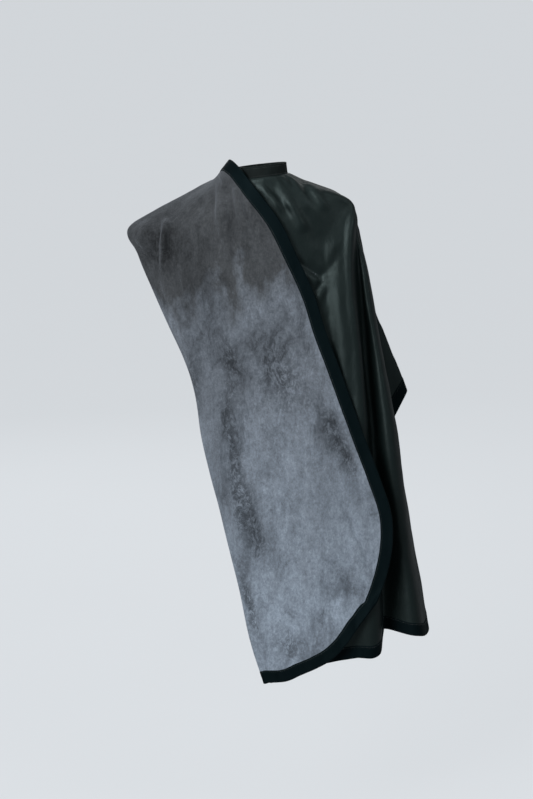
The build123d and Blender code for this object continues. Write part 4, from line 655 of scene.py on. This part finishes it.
def plush_material():
    N = Nodes("plush_pile")
    rest = N.attr("rest").outputs["Vector"]
    sep = N.add("ShaderNodeSeparateXYZ")
    N.link(rest, sep.inputs[0])
    x, z = sep.outputs[0], sep.outputs[2]
    wn = N.add("ShaderNodeTexNoise")
    wn.inputs["Scale"].default_value = 1.0
    wn.inputs["Detail"].default_value = 3.0
    N.link(N.scaled(rest, (22.0, 22.0, 13.0)), wn.inputs["Vector"])
    wc = N.add("ShaderNodeVectorMath", operation="SUBTRACT")
    N.link(wn.outputs["Color"], wc.inputs[0])
    wc.inputs[1].default_value = (0.5, 0.5, 0.5)
    ws = N.add("ShaderNodeVectorMath", operation="SCALE")
    N.link(wc.outputs[0], ws.inputs[0])
    ws.inputs["Scale"].default_value = 0.045
    wa = N.add("ShaderNodeVectorMath", operation="ADD")
    N.link(rest, wa.inputs[0])
    N.link(ws.outputs[0], wa.inputs[1])
    bent = wa.outputs[0]
    edge = N.noise(N.scaled(rest, (14.0, 14.0, 7.0)), 1.0, 5.0, 0.62, 0.2)
    zz = N.math("ADD", z, N.math("MULTIPLY", N.math("SUBTRACT", edge, 0.5), 0.42))
    # darker and browner towards the top, reaching further down on the left
    top = N.math("MULTIPLY_ADD", N.math("ADD", zz, N.math("MULTIPLY", x, -0.25)), 1 / 0.10, (0.245 + 0.05) / 0.10, clamp=True)
    low = N.math("MULTIPLY_ADD", zz, -1 / 0.55, -0.42 / 0.55, clamp=True)
    streak = N.noise(N.scaled(bent, (30.0, 30.0, 4.6)), 1.0, 7.0, 0.66, 0.3)
    cloud = N.noise(N.scaled(bent, (13.0, 13.0, 7.0)), 1.0, 8.0, 0.68, 0.5)
    mott = N.noise(N.scaled(rest, (80.0, 80.0, 58.0)), 1.0, 7.0, 0.74, 0.35)
    grain = N.noise(N.scaled(rest, (250.0, 250.0, 170.0)), 1.0, 4.0, 0.7, 0.3)
    flecks = N.noise(N.scaled(bent, (120.0, 120.0, 75.0)), 1.0, 8.0, 0.76, 0.6)
    fine = N.noise(N.scaled(rest, (1500.0, 1500.0, 700.0)), 1.0, 3.0, 0.7)
    blue = N.mix(low, lin_rgb(119, 127, 137), lin_rgb(142, 154, 168))
    base = N.mix(top, blue, lin_rgb(69, 72, 75))
    crush = N.ramp(cloud, [(0.34, (0.56,) * 3), (0.44, (0.88,) * 3), (0.52, (1.06,) * 3), (0.75, (1.16,) * 3)], "LINEAR")
    v1 = N.math("MULTIPLY_ADD", N.math("SUBTRACT", streak, 0.5), 0.85, 1.0)
    v3 = N.math("MULTIPLY_ADD", N.math("SUBTRACT", mott, 0.5), 1.25, 1.0)
    v4 = N.math("MULTIPLY_ADD", N.math("SUBTRACT", grain, 0.5), 1.2, 1.0)
    v5 = N.math("MULTIPLY_ADD", N.math("SUBTRACT", fine, 0.5), 0.5, 1.0)
    v = N.math("MULTIPLY", N.math("MULTIPLY", v1, crush), N.math("MULTIPLY", v3, N.math("MULTIPLY", v4, v5)))
    spots = [((-0.040, -0.700), (0.022, 0.055), 12), ((-0.018, -0.772), (0.024, 0.060), 24), ((0.055, -1.015), (0.034, 0.026), -48),
             ((0.150, -0.545), (0.018, 0.050), 26), ((0.185, -0.610), (0.018, 0.050), 30), ((-0.068, -0.405), (0.020, 0.085), 6),
             ((-0.143, -0.445), (0.014, 0.060), 0), ((0.040, -0.420), (0.045, 0.10), 20), ((-0.215, -0.160), (0.040, 0.055), -20),
             ((-0.06, -0.58), (0.016, 0.10), 8), ((-0.02, -0.93), (0.012, 0.09), 16)]
    broad = [((-0.033, -0.400), (0.055, 0.110), 10), ((-0.112, -0.430), (0.035, 0.150), 4), ((-0.080, -0.55), (0.030, 0.12), 8),
             ((-0.205, -0.150), (0.050, 0.070), -15), ((-0.135, -0.330), (0.045, 0.150), 5), ((-0.098, -0.640), (0.026, 0.120), 10), ((0.160, -0.58), (0.028, 0.090), 24), ((-0.005, -0.76), (0.035, 0.09), 20)]
    shade = N.value(0.0)
    bs = N.add("ShaderNodeSeparateXYZ")
    N.link(bent, bs.inputs[0])
    for (cx, cz), (rx, rz), ang in spots:
        co, si = math.cos(math.radians(ang)), math.sin(math.radians(ang))
        dx = N.math("ADD", bs.outputs[0], -cx)
        dz = N.math("ADD", bs.outputs[2], -cz)
        a = N.math("MULTIPLY", N.math("ADD", N.math("MULTIPLY", dx, co), N.math("MULTIPLY", dz, si)), 1 / rx)
        b = N.math("MULTIPLY", N.math("SUBTRACT", N.math("MULTIPLY", dz, co), N.math("MULTIPLY", dx, si)), 1 / rz)
        r2 = N.math("ADD", N.math("MULTIPLY", a, a), N.math("MULTIPLY", b, b))
        shade = N.math("ADD", shade, N.math("EXPONENT", N.math("MULTIPLY", r2, -1.0)))
    rag = N.math("MULTIPLY_ADD", N.math("SUBTRACT", flecks, 0.47), 8.0, 0.5, clamp=True)
    shade = N.math("MULTIPLY", N.math("MINIMUM", shade, 1.0), rag)
    v = N.math("MULTIPLY", v, N.math("MULTIPLY_ADD", shade, -0.60, 1.0))
    soft = N.value(0.0)
    for (cx, cz), (rx, rz), ang in broad:
        co, si = math.cos(math.radians(ang)), math.sin(math.radians(ang))
        dx = N.math("ADD", bs.outputs[0], -cx)
        dz = N.math("ADD", bs.outputs[2], -cz)
        a = N.math("MULTIPLY", N.math("ADD", N.math("MULTIPLY", dx, co), N.math("MULTIPLY", dz, si)), 1 / rx)
        b = N.math("MULTIPLY", N.math("SUBTRACT", N.math("MULTIPLY", dz, co), N.math("MULTIPLY", dx, si)), 1 / rz)
        r2 = N.math("ADD", N.math("MULTIPLY", a, a), N.math("MULTIPLY", b, b))
        soft = N.math("ADD", soft, N.math("EXPONENT", N.math("MULTIPLY", r2, -1.0)))
    v = N.math("MULTIPLY", v, N.math("MULTIPLY_ADD", N.math("MINIMUM", soft, 1.0), -0.29, 1.0))
    worn = N.math("MULTIPLY_ADD", N.math("SUBTRACT", flecks, 0.52), 7.0, 0.0, clamp=True)
    zone = N.math("MULTIPLY_ADD", N.math("SUBTRACT", 0.50, cloud), 6.0, 0.45, clamp=True)
    v = N.math("MULTIPLY", v, N.math("MULTIPLY_ADD", N.math("MULTIPLY", worn, zone), -0.30, 1.03))
    hsv = N.add("ShaderNodeHueSaturation")
    N.link(base, hsv.inputs["Color"])
    N.link(v, hsv.inputs["Value"])
    pile = N.math("ADD", N.math("MULTIPLY", fine, 0.7), N.math("ADD", N.math("MULTIPLY", grain, 1.0), N.math("MULTIPLY", mott, 1.2)))
    N.set(Base_Color=hsv.outputs[0], Roughness=0.95, Specular_IOR_Level=0.10, Sheen_Weight=0.32,
          Sheen_Roughness=0.5, Sheen_Tint=lin_rgb(205, 214, 226), Normal=N.bump(pile, 0.6, 0.0022))
    return N.mat


def shell_material():
    N = Nodes("shell_satin")
    uv = N.attr("cloth").outputs["Vector"]
    rest = N.attr("rest").outputs["Vector"]
    w = weave(N, uv, 2600.0, 2600.0)
    soft = N.noise(N.scaled(rest, (30.0, 30.0, 14.0)), 1.0, 4.0, 0.55, 0.3)
    crink = N.noise(N.scaled(rest, (130.0, 130.0, 70.0)), 1.0, 3.0, 0.6, 0.4)
    col = N.ramp(N.noise(N.scaled(rest, (12.0, 12.0, 8.0)), 1.0, 3.0, 0.5),
                 [(0.25, lin_rgb(12, 20, 20)[:3]), (0.75, lin_rgb(19, 28, 28)[:3])])
    rough = N.math("MULTIPLY_ADD", soft, 0.14, 0.37)
    facing = N.add("ShaderNodeLayerWeight").outputs["Facing"]
    shine = N.math("MULTIPLY_ADD", N.math("POWER", facing, 2.5), -0.33, 0.41)
    b1 = N.bump(soft, 0.35, 0.004)
    b2 = N.bump(crink, 0.28, 0.0014, b1)
    N.set(Base_Color=col, Roughness=rough, Specular_IOR_Level=shine, Specular_Tint=lin_rgb(215, 240, 240), Sheen_Weight=0.03, Sheen_Roughness=0.35,
          Sheen_Tint=lin_rgb(150, 175, 180), Normal=N.bump(w, 0.16, 0.0002, b2))
    return N.mat


def binding_material():
    N = Nodes("binding_tape")
    uv = N.attr("cloth").outputs["Vector"]
    rest = N.attr("rest").outputs["Vector"]
    sep = N.add("ShaderNodeSeparateXYZ")
    N.link(uv, sep.inputs[0])
    rib = N.math("SINE", N.math("MULTIPLY", sep.outputs[0], 2 * math.pi / 0.0011))
    soft = N.noise(N.scaled(rest, (90.0, 90.0, 60.0)), 1.0, 4.0, 0.6)
    col = N.ramp(N.noise(N.scaled(rest, (40.0, 40.0, 18.0)), 1.0, 4.0, 0.6),
                 [(0.3, lin_rgb(2, 9, 12)[:3]), (0.7, lin_rgb(7, 16, 19)[:3])])
    b1 = N.bump(soft, 0.4, 0.0012)
    N.set(Base_Color=col, Roughness=0.70, Specular_IOR_Level=0.11, Specular_Tint=lin_rgb(190, 235, 245), Sheen_Weight=0.02, Sheen_Roughness=0.4,
          Sheen_Tint=lin_rgb(110, 150, 160), Normal=N.bump(rib, 0.25, 0.00015, b1))
    return N.mat


def band_material(node=False):
    N = Nodes("band_cloth" + ("_plain" if node else ""))
    vec = N.add("ShaderNodeTexCoord").outputs["Object"] if node else N.attr("cloth").outputs["Vector"]
    w = weave(N, vec, 1500.0, 1500.0)
    soft = N.noise(N.scaled(vec, (70.0, 70.0, 70.0)), 1.0, 4.0, 0.6)
    col = N.ramp(soft, [(0.3, lin_rgb(13, 20, 20)[:3]), (0.75, lin_rgb(22, 30, 30)[:3])])
    b1 = N.bump(soft, 0.4, 0.0012)
    N.set(Base_Color=col, Roughness=0.72, Specular_IOR_Level=0.15, Sheen_Weight=0.04, Sheen_Roughness=0.4,
          Sheen_Tint=lin_rgb(130, 150, 155), Normal=N.bump(w, 0.25, 0.0003, b1))
    return N.mat


def interfacing_material():
    N = Nodes("interfacing_felt")
    vec = N.add("ShaderNodeTexCoord").outputs["Object"]
    f = N.noise(N.scaled(vec, (700.0, 700.0, 700.0)), 1.0, 4.0, 0.7)
    col = N.ramp(f, [(0.3, lin_rgb(44, 46, 48)[:3]), (0.7, lin_rgb(66, 68, 70)[:3])])
    N.set(Base_Color=col, Roughness=0.92, Specular_IOR_Level=0.2, Normal=N.bump(f, 0.5, 0.0004))
    return N.mat


def plastic_material():
    N = Nodes("snap_resin")
    vec = N.add("ShaderNodeTexCoord").outputs["Object"]
    f = N.noise(N.scaled(vec, (420.0, 420.0, 420.0)), 1.0, 2.0, 0.5)
    col = N.ramp(f, [(0.35, lin_rgb(20, 21, 22)[:3]), (0.65, lin_rgb(26, 27, 29)[:3])])
    N.set(Base_Color=col, Roughness=N.math("MULTIPLY_ADD", f, 0.12, 0.24), Specular_IOR_Level=0.5,
          Normal=N.bump(f, 0.08, 0.0002))
    return N.mat


def thread_material():
    N = Nodes("thread")
    uv = N.add("ShaderNodeTexCoord").outputs["Object"]
    f = N.noise(N.scaled(uv, (1500.0, 1500.0, 1500.0)), 1.0, 2.0, 0.6)
    col = N.ramp(f, [(0.3, lin_rgb(30, 38, 40)[:3]), (0.7, lin_rgb(46, 56, 58)[:3])])
    N.set(Base_Color=col, Roughness=0.55, Specular_IOR_Level=0.4, Sheen_Weight=0.3, Normal=N.bump(f, 0.3, 0.0001))
    return N.mat


def floor_material():
    N = Nodes("floor_paper")
    vec = N.add("ShaderNodeTexCoord").outputs["Object"]
    f = N.noise(N.scaled(vec, (2.0, 2.0, 2.0)), 1.0, 3.0, 0.5)
    col = N.ramp(f, [(0.3, lin_rgb(96, 98, 100)[:3]), (0.7, lin_rgb(98, 100, 102)[:3])])
    cam_ray = N.add("ShaderNodeLightPath").outputs["Is Camera Ray"]
    N.set(Base_Color=col, Roughness=0.95, Specular_IOR_Level=0.0, Emission_Color=lin_rgb(209, 213, 217),
          Emission_Strength=N.math("MULTIPLY_ADD", cam_ray, 0.775, 0.20))
    return N.mat


PLUSH, SHELL_M, BINDING_M = plush_material(), shell_material(), binding_material()
BAND_M, THREAD_M = band_material(), thread_material()

# ------------------------------------------------------------------ grids that run on round each soft fold
G, SHELL_T, LINING_T = 0.25, 1.2, 2.4
T_SHELL, T_LINING = (G, G + SHELL_T), (-G - LINING_T, -G)
F_SHELL, F_LINING = (-G - SHELL_T, -G), (G, G + LINING_T)


class Ext:
    """A cloth grid with extra rows before s = 0; s from -1 to 0 reads those."""

    def __init__(self, rows, cloth):
        self.nb, self.cloth = len(rows), cloth
        self.g = np.concatenate([rows, cloth.g])
        n = unit(np.cross(np.gradient(self.g, axis=0), np.gradient(self.g, axis=1))) * cloth.sign
        self.n = unit(blur(n, 5))

    def idx(self, s):
        s = np.asarray(s, float)
        return np.where(s >= 0, self.nb + np.clip(s, 0, 1) * (self.cloth.g.shape[0] - 1), self.nb * (1 + np.clip(s, -1, 0)))

    def read(self, arr, s, v):
        s, v = np.broadcast_arrays(np.asarray(s, float), np.asarray(v, float))
        n, m = arr.shape[:2]
        a, b = np.minimum(self.idx(s), n - 1), np.clip(v, 0, 1) * (m - 1)
        i, j = np.minimum(a.astype(int), n - 2), np.minimum(b.astype(int), m - 2)
        x, y = (a - i)[..., None], (b - j)[..., None]
        return ((1 - x) * (1 - y) * arr[i, j] + x * (1 - y) * arr[i + 1, j]
                + (1 - x) * y * arr[i, j + 1] + x * y * arr[i + 1, j + 1])

    def at(self, s, v):
        return self.read(self.g, s, v)

    def nat(self, s, v):
        return unit(self.read(self.n, s, v))


vt = lin(0, 1, turned.g.shape[1])
X_main = Ext(main.g[:0], main)
X_turned = Ext(fold_round(vt, lin(0.12, 2.95, 13)), turned)

# the back panel starts at the main cloth's last column
axis_b = unit(BACK_B - BACK_A)
back_dir = unit(np.cross(axis_b, np.array([0.30, 0.95, 0.12])))
back_dir = back_dir if back_dir[0] < 0 else -back_dir
mc = main.g[-1]
mt, bt = (mc - BACK_A) @ axis_b, (back.g[0] - BACK_A) @ axis_b
order = np.argsort(mt)
from_main = np.stack([np.interp(bt, mt[order], mc[order, k]) for k in range(3)], 1)
step = back.g[4] - back.g[0]
lead = []
for k in lin(0.0, 1.0, 11)[:-1]:
    a = smooth(k)
    lin_p = from_main * (1 - k) + back.g[0] * k
    lead.append(lin_p + (back.g[0] - step * 0.6 * (1 - k) - lin_p) * a * (1 - k) * 0.8)
X_back = Ext(np.stack(lead), back)


def const(x):
    return lambda v: np.full(np.shape(v), float(x))


def put_sheet(name, X, s1, v1, nu, nv, span, mat, fold_rows=0):
    """Sheet from the neck or fold edge (v = 0) to the tucked hem; the first fold_rows rows run round the fold."""
    a, b = lin(0, 1, nu)[:, None], lin(0, 1, nv)[None, :]
    f = fold_rows / (nu - 1)
    u = np.where(a < f, a / max(f, 1e-9) - 1, (a - f) / (1 - f))
    hem = v1(np.where(u < 0, 0.0, u * float(s1(np.array([0.999]))[0])))
    v = hem * b
    s = np.where(u < 0, u + 0 * v, u * s1(v))
    g, n = X.at(s, v), X.nat(s, v)
    return sheet(name, g, n, span[0], span[1], mat, cloth_uv(g))


def edge_inset(c, s_at, d):
    """Share of a row taken by a width d in from the free edge (s = 1), by station v."""
    def f(v):
        v = np.asarray(v, float)
        row = np.linalg.norm(c.at(np.full(v.shape, 0.5), v) - c.at(np.full(v.shape, 0.1), v), axis=-1) / 0.4
        k = 1 - c.inset_s(np.full(v.shape, s_at), v, d)
        return np.maximum(k, 0.3 - 1.3 * (d - BINDING_W) / row)
    return f


def smooth_line(a, n=9):
    k = np.hanning(n + 2)[1:-1]
    k /= k.sum()
    p = np.pad(a, (n // 2, n // 2), mode="edge")
    return np.convolve(p, k, "valid")


def put_tape(name, X, P_in, P_out, mat, lo, hi, swell=0.75, rows=11, stitch=True, flip=1.0):
    """Binding folded round an edge. P_in, P_out: (m, 2) stations (s, v) of the stitched and the outer edge."""
    t = lin(0, 1, rows)
    top, bot, nn = [], [], []
    for k in t:
        q = P_in + (P_out - P_in) * k
        p, n = X.at(q[:, 0], q[:, 1]), X.nat(q[:, 0], q[:, 1])
        for _ in range(6):
            n[1:-1] = unit(n[:-2] + n[2:] + 2 * n[1:-1])
        dip = 0.30 * math.exp(-((k - 0.12) / 0.045) ** 2)
        body = swell * (0.25 + 0.75 * smooth(k, 0.0, 0.08)) + 0.35 * smooth(k, 0.55, 1.0)
        top.append(p + n * (hi + body - dip))
        bot.append(p + n * (lo - body + dip))
        nn.append(n)
    n = nn[-1]
    out = unit(top[-1] - top[-3])
    for _ in range(8):
        out[1:-1] = unit(out[:-2] + out[2:] + 2 * out[1:-1])
    mid, r = (hi + lo) / 2, (hi - lo) / 2 + swell + 0.35
    pe = top[-1] - n * (hi + swell + 0.35)
    arc = [pe + out * (r * 0.8 * math.cos(math.radians(b))) + n * (mid + r * math.sin(math.radians(b)))
           for b in (66, 42, 18, -6, -30, -54)]
    P = np.stack(top + arc + bot[::-1], 1)
    o = loft(name, P, mat)
    if stitch:
        q = P_in + (P_out - P_in) * 0.12
        p, n = X.at(q[:, 0], q[:, 1]), X.nat(q[:, 0], q[:, 1])
        for _ in range(6):
            n[1:-1] = unit(n[:-2] + n[2:] + 2 * n[1:-1])
        body = swell * 1.0 - 0.30
        a = stitches(name + "_stitch_a", p + n * (hi + body), n, THREAD_M)
        b = stitches(name + "_stitch_b", p + n * (lo - body), -n, THREAD_M)
        return o, a, b
    return (o,)


# ------------------------------------------------------------------ main cloth
def hem_v(c, d):
    s = lin(0, 1, 121)
    k = smooth_line(1 - c.inset_v(s, np.full(121, 0.995), d), 9)
    return lambda q: np.interp(np.clip(q, 0, 1), s, k)


m_hem, m_tuck = hem_v(main, BINDING_W), hem_v(main, 6.0)
o = put_sheet("main_shell_cloth", X_main, const(1), m_tuck, 301, 191, T_SHELL, SHELL_M)
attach(o, "cape_body"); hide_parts("main_shell")
o = put_sheet("main_lining_cloth", X_main, const(1), m_tuck, 241, 151, T_LINING, PLUSH)
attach(o, "cape_body"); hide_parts("main_lining")

sp = lin(0.0, 0.985, 520)
tape_parts = put_tape("main_hem_tape", X_main, np.stack([sp, m_hem(sp)], 1),
                      np.stack([sp, 1 - 0.0035 * (1 - smooth(sp, 0.0, 0.03))], 1),
                      BINDING_M, T_LINING[0], T_SHELL[1])
for k, o in enumerate(tape_parts):
    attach(o, "cape_body")
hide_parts("main_hem_binding")

# ------------------------------------------------------------------ turned panel
axis_t = unit(TURN_B - TURN_A)
e1 = unit(np.array([1.0, 0, 0]) - axis_t[0] * axis_t)
e2 = np.cross(axis_t, e1)
e2 = e2 if e2[1] < 0 else -e2
turn_dir = math.cos(math.radians(20)) * e1 + math.sin(math.radians(20)) * e2
turn_zone = (tuple((TURN_A - turn_dir * 14) * MM), tuple((TURN_A + turn_dir * 14) * MM))

t_in, t_tuck = edge_inset(turned, 0.995, BINDING_W), edge_inset(turned, 0.995, 7.0)
t_hem, t_htuck = hem_v(turned, BINDING_W), hem_v(turned, 7.0)
lining_turned = put_sheet("turned_lining_cloth", X_turned, t_tuck, t_htuck, 241, 231, F_LINING, PLUSH, 18)
shell_turned = put_sheet("turned_shell_cloth", X_turned, t_tuck, t_htuck, 181, 201, F_SHELL, SHELL_M, 14)
va = lin(0.0, 1.0, 620)
tv = smooth_line(t_in(va), 15)
s_corner = float(tv[-12])
v_corner = float(t_hem(s_corner))
va_in = va * v_corner
edge_a = (np.stack([np.interp(va_in, va, tv), va_in], 1), np.stack([np.ones_like(va), va], 1))
sb = np.r_[lin(1.0, 0.0, 300)[1:], lin(0.0, -1.0, 15)[1:]]
sb_in = np.where(sb > 0, sb * s_corner, sb)
edge_b = (np.stack([sb_in, np.where(sb_in > 0, t_hem(sb_in), t_hem(0.0))], 1), np.stack([sb, np.ones_like(sb)], 1))
P_in = np.concatenate([edge_a[0], edge_b[0]])
P_out = np.concatenate([edge_a[1], edge_b[1]])
turned_tape = put_tape("turned_edge_tape", X_turned, P_in, P_out, BINDING_M, F_SHELL[0], F_LINING[1])
for o in (lining_turned, shell_turned) + tuple(turned_tape):
    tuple(turn_zone[0])
    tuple(turn_zone[1])
    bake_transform(o)
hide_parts("side_fold_lining", "turned_panel_lining")
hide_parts("side_fold_shell", "turned_panel_shell")
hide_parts("side_fold_binding", "turned_panel_binding")

# ------------------------------------------------------------------ left back panel
back_zone = (tuple((BACK_A - back_dir * 9) * MM), tuple((BACK_A + back_dir * 12) * MM))
b_hem, b_htuck = hem_v(back, BINDING_W), hem_v(back, 6.0)


def b_edge(d):
    def f(v):
        v = np.asarray(v, float)
        return np.maximum(1 - back.inset_s(np.full(v.shape, 0.98), v, d), -0.2 if d > 20 else 0.15)
    return f


sheets_b = []
for nm, span, mat in (("back_shell_cloth", T_SHELL, SHELL_M), ("back_lining_cloth", T_LINING, PLUSH)):
    o = put_sheet(nm, X_back, b_edge(6.0), b_htuck, 121, 181, span, mat, 12)
    sheets_b.append(o)
vb_ = lin(0.0, 1.0, 420)
tb = smooth_line(b_edge(BINDING_W)(vb_), 15)
sc = float(tb[-8])
vc = float(b_hem(sc))
vin = vb_ * vc
ea = (np.stack([np.interp(vin, vb_, tb), vin], 1), np.stack([np.ones_like(vb_), vb_], 1))
sb = np.r_[lin(1.0, 0.0, 180)[1:], lin(0.0, -1.0, 13)[1:]]
sbi = np.where(sb > 0, sb * sc, sb)
eb = (np.stack([sbi, np.where(sbi > 0, b_hem(sbi), b_hem(0.0))], 1), np.stack([sb, np.ones_like(sb)], 1))
back_tape = put_tape("back_edge_tape", X_back, np.concatenate([ea[0], eb[0]]), np.concatenate([ea[1], eb[1]]),
                     BINDING_M, T_LINING[0], T_SHELL[1])
# the bound edge between the band's end and the fold line
zt = lin(0, 1, 60)[:, None]
left = np.array([8.5, 59.0, -16.0]) * (1 - zt) + np.array([9.0, 66.5, -128.0]) * zt
right = np.array([31.0, 52.5, -24.0]) * (1 - zt) + np.array([33.0, 69.5, -168.0]) * zt


class Strip:
    def at(self, s, v):
        i = np.clip(np.asarray(v, float), 0, 1)[..., None]
        a = left[0] * (1 - i) + left[-1] * i
        b = right[0] * (1 - i) + right[-1] * i
        k = np.asarray(s, float)[..., None]
        return b + (a - b) * k

    def nat(self, s, v):
        n = unit(np.cross(left[-1] - left[0], right[0] - left[0]))
        n = n if n[1] > 0 else -n
        return np.broadcast_to(n, np.shape(s) + (3,)).copy()


vq = lin(0, 1, 90)
top_tape = put_tape("back_opening_tape", Strip(), np.stack([np.zeros(90), vq], 1), np.stack([np.ones(90), vq], 1),
                    BINDING_M, T_LINING[0], T_SHELL[1])
for o in tuple(sheets_b) + tuple(back_tape):
    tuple(back_zone[0])
    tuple(back_zone[1])
    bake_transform(o)
for o in top_tape:
    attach(o, "cape_body")
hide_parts("back_panel_shell")
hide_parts("back_panel_lining")
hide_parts("back_panel_binding")
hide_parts("back_opening_binding")

# ------------------------------------------------------------------ neckband and tab
bz = unit(BAND_AXIS)
bx = unit(np.array([1.0, 0, 0]) - bz[0] * bz)
by = np.cross(bz, bx)


def ring_point(deg, r, h):
    a = np.radians(deg)[..., None] if np.ndim(deg) else math.radians(deg)
    return (np.cos(a) * bx + np.sin(a) * by) * np.asarray(r)[..., None] + bz * np.asarray(h)[..., None]


def sleeve(name, degs, r_in, r_out, h, mat):
    """A flat-sewn sleeve round the neck with piped, softly rounded edges."""
    degs = np.asarray(degs, float)
    r_in, r_out = np.broadcast_to(r_in, degs.shape), np.broadcast_to(r_out, degs.shape)
    prof = []
    H = h / 2
    for z in lin(-H + 1.2, H - 1.2, 15):                      # outer wall
        edge = math.exp(-((abs(z) - (H - 2.0)) / 1.0) ** 2)
        groove = math.exp(-((abs(z) - (H - 4.4)) / 0.7) ** 2)
        prof.append((1.0, 0.30 * edge - 0.28 * groove + 0.05, z))
    for b in (30, 60, 90, 120, 150):
        prof.append((0.5 + 0.5 * math.cos(math.radians(b)), 0.2 * math.cos(math.radians(b)), H - 1.2 + 1.2 * math.sin(math.radians(b))))
    for z in lin(H - 1.2, -H + 1.2, 9):
        prof.append((0.0, 0.0, z))
    for b in (30, 60, 90, 120, 150):
        prof.append((0.5 - 0.5 * math.cos(math.radians(b)), -0.2 * math.cos(math.radians(b)), -H + 1.2 - 1.2 * math.sin(math.radians(b))))
    rng = np.random.default_rng(5)
    wob = np.interp(lin(0, 1, len(degs)), lin(0, 1, 40), rng.normal(0, 0.14, 40))
    rings = []
    for k, extra, z in prof:
        r = r_in + (r_out - r_in) * k + extra + (wob * 0.6 if k > 0.5 else 0)
        rings.append(ring_point(degs, r, np.full(degs.shape, z)))
    return loft(name, np.stack(rings, 1), mat)


degs = lin(96.0, 445.0, 420)
band_o = sleeve("neckband_cloth", degs, 52.0, 55.4, BAND_H, BAND_M)
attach(band_o, "cape_body"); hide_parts("neckband_outer", "neckband_lining")
dt = lin(84.5, 146.0, 110)
k = smooth(dt, 84.5, 93.0)
tab_o = sleeve("closing_tab_cloth", dt, 52.4 + (57.3 - 52.4) * k, 55.0 + (60.9 - 55.0) * k, BAND_H, BAND_M)
p0, p1 = ring_point(85.5, np.array(57.0), np.array(0.0)), ring_point(92.0, np.array(57.0), np.array(0.0))
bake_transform(tab_o)
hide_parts("tab_outer", "tab_lining")
for nm, dd, rr, body in (("neckband_stitch", lin(97, 444, 700), 55.4, "cape_body"), ("tab_stitch", lin(93, 145.2, 120), 60.9, "neckband_tab")):
    for tag, z in (("top", BAND_H / 2 - 4.4), ("bottom", -BAND_H / 2 + 4.4)):
        p = ring_point(dd, np.full(dd.shape, rr - 0.1), np.full(dd.shape, z))
        n = ring_point(dd, np.ones(dd.shape), np.zeros(dd.shape))
        o = stitches(nm + "_" + tag, p, n, THREAD_M, pitch=3.0, length=2.1, r=0.24)
        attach(o, body)

# ------------------------------------------------------------------ CAD nodes that stay
FELT, RESIN = interfacing_material(), plastic_material()
for name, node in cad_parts.items():
    if name in ("neckband_interfacing", "tab_interfacing"):
        node.data.materials.clear(); node.data.materials.append(FELT)
    elif name.startswith("snap_"):
        node.data.materials.clear(); node.data.materials.append(RESIN)
        bev = node.modifiers.new("edge", "BEVEL")
        bev.width, bev.segments, bev.limit_method, bev.angle_limit = 0.00025, 2, "ANGLE", math.radians(40)

# ------------------------------------------------------------------ floor, light, camera
floor_me = bpy.data.meshes.new("floor")
R = 60.0
floor_me.from_pydata([(-R, -R, -1.475), (R, -R, -1.475), (R, R, -1.475), (-R, R, -1.475)], [], [(0, 1, 2, 3)])
floor_me.materials.append(floor_material())
floor = bpy.data.objects.new("floor", floor_me)
bpy.context.scene.collection.objects.link(floor)


def area(name, loc, target, size, power, size_y=None):
    li = bpy.data.lights.new(name, "AREA")
    li.shape = "RECTANGLE"
    li.size, li.size_y = size, size_y or size
    li.energy = power
    ob = bpy.data.objects.new(name, li)
    ob.location = loc
    ob.rotation_euler = (Vector(target) - Vector(loc)).to_track_quat("-Z", "Y").to_euler()
    bpy.context.scene.collection.objects.link(ob)
    return ob


area("key", (-1.75, -2.9, 1.05), (0.0, 0.0, -0.45), 1.5, 106, 2.2)
area("fill", (2.6, -1.8, 1.6), (0.0, 0.0, -0.5), 1.6, 16)
area("top", (-0.3, -0.6, 2.6), (0.0, 0.0, -0.4), 1.4, 13)
area("rim", (1.4, 2.4, 1.9), (0.0, 0.0, -0.4), 2.0, 14)
area("back", (-0.9, 3.3, 0.7), (0.0, 0.0, -0.5), 2.2, 34)
world = bpy.data.worlds.new("studio")
world.use_nodes = True
wb = next(n for n in world.node_tree.nodes if n.type == "BACKGROUND")
wb.inputs[0].default_value = lin_rgb(214, 219, 223)
ray = world.node_tree.nodes.new("ShaderNodeLightPath")
level = world.node_tree.nodes.new("ShaderNodeMath")
level.operation = "MULTIPLY_ADD"
level.inputs[1].default_value, level.inputs[2].default_value = 0.72, 0.24
world.node_tree.links.new(ray.outputs["Is Camera Ray"], level.inputs[0])
world.node_tree.links.new(level.outputs[0], wb.inputs[1])
bpy.context.scene.world = world
bpy.context.scene.view_settings.view_transform = "Standard"

cam = bpy.data.cameras.new("camera")
cam.sensor_fit, cam.sensor_height, cam.lens = "VERTICAL", 36.0, 112.64
cam.clip_end = 200.0
cam_o = bpy.data.objects.new("camera", cam)
cam_o.location = (0.0108, -5.3696, 0.6851)
cam_o.rotation_euler = (math.radians(77.5), 0.0, 0.0)
bpy.context.scene.collection.objects.link(cam_o)
bpy.context.scene.camera = cam_o
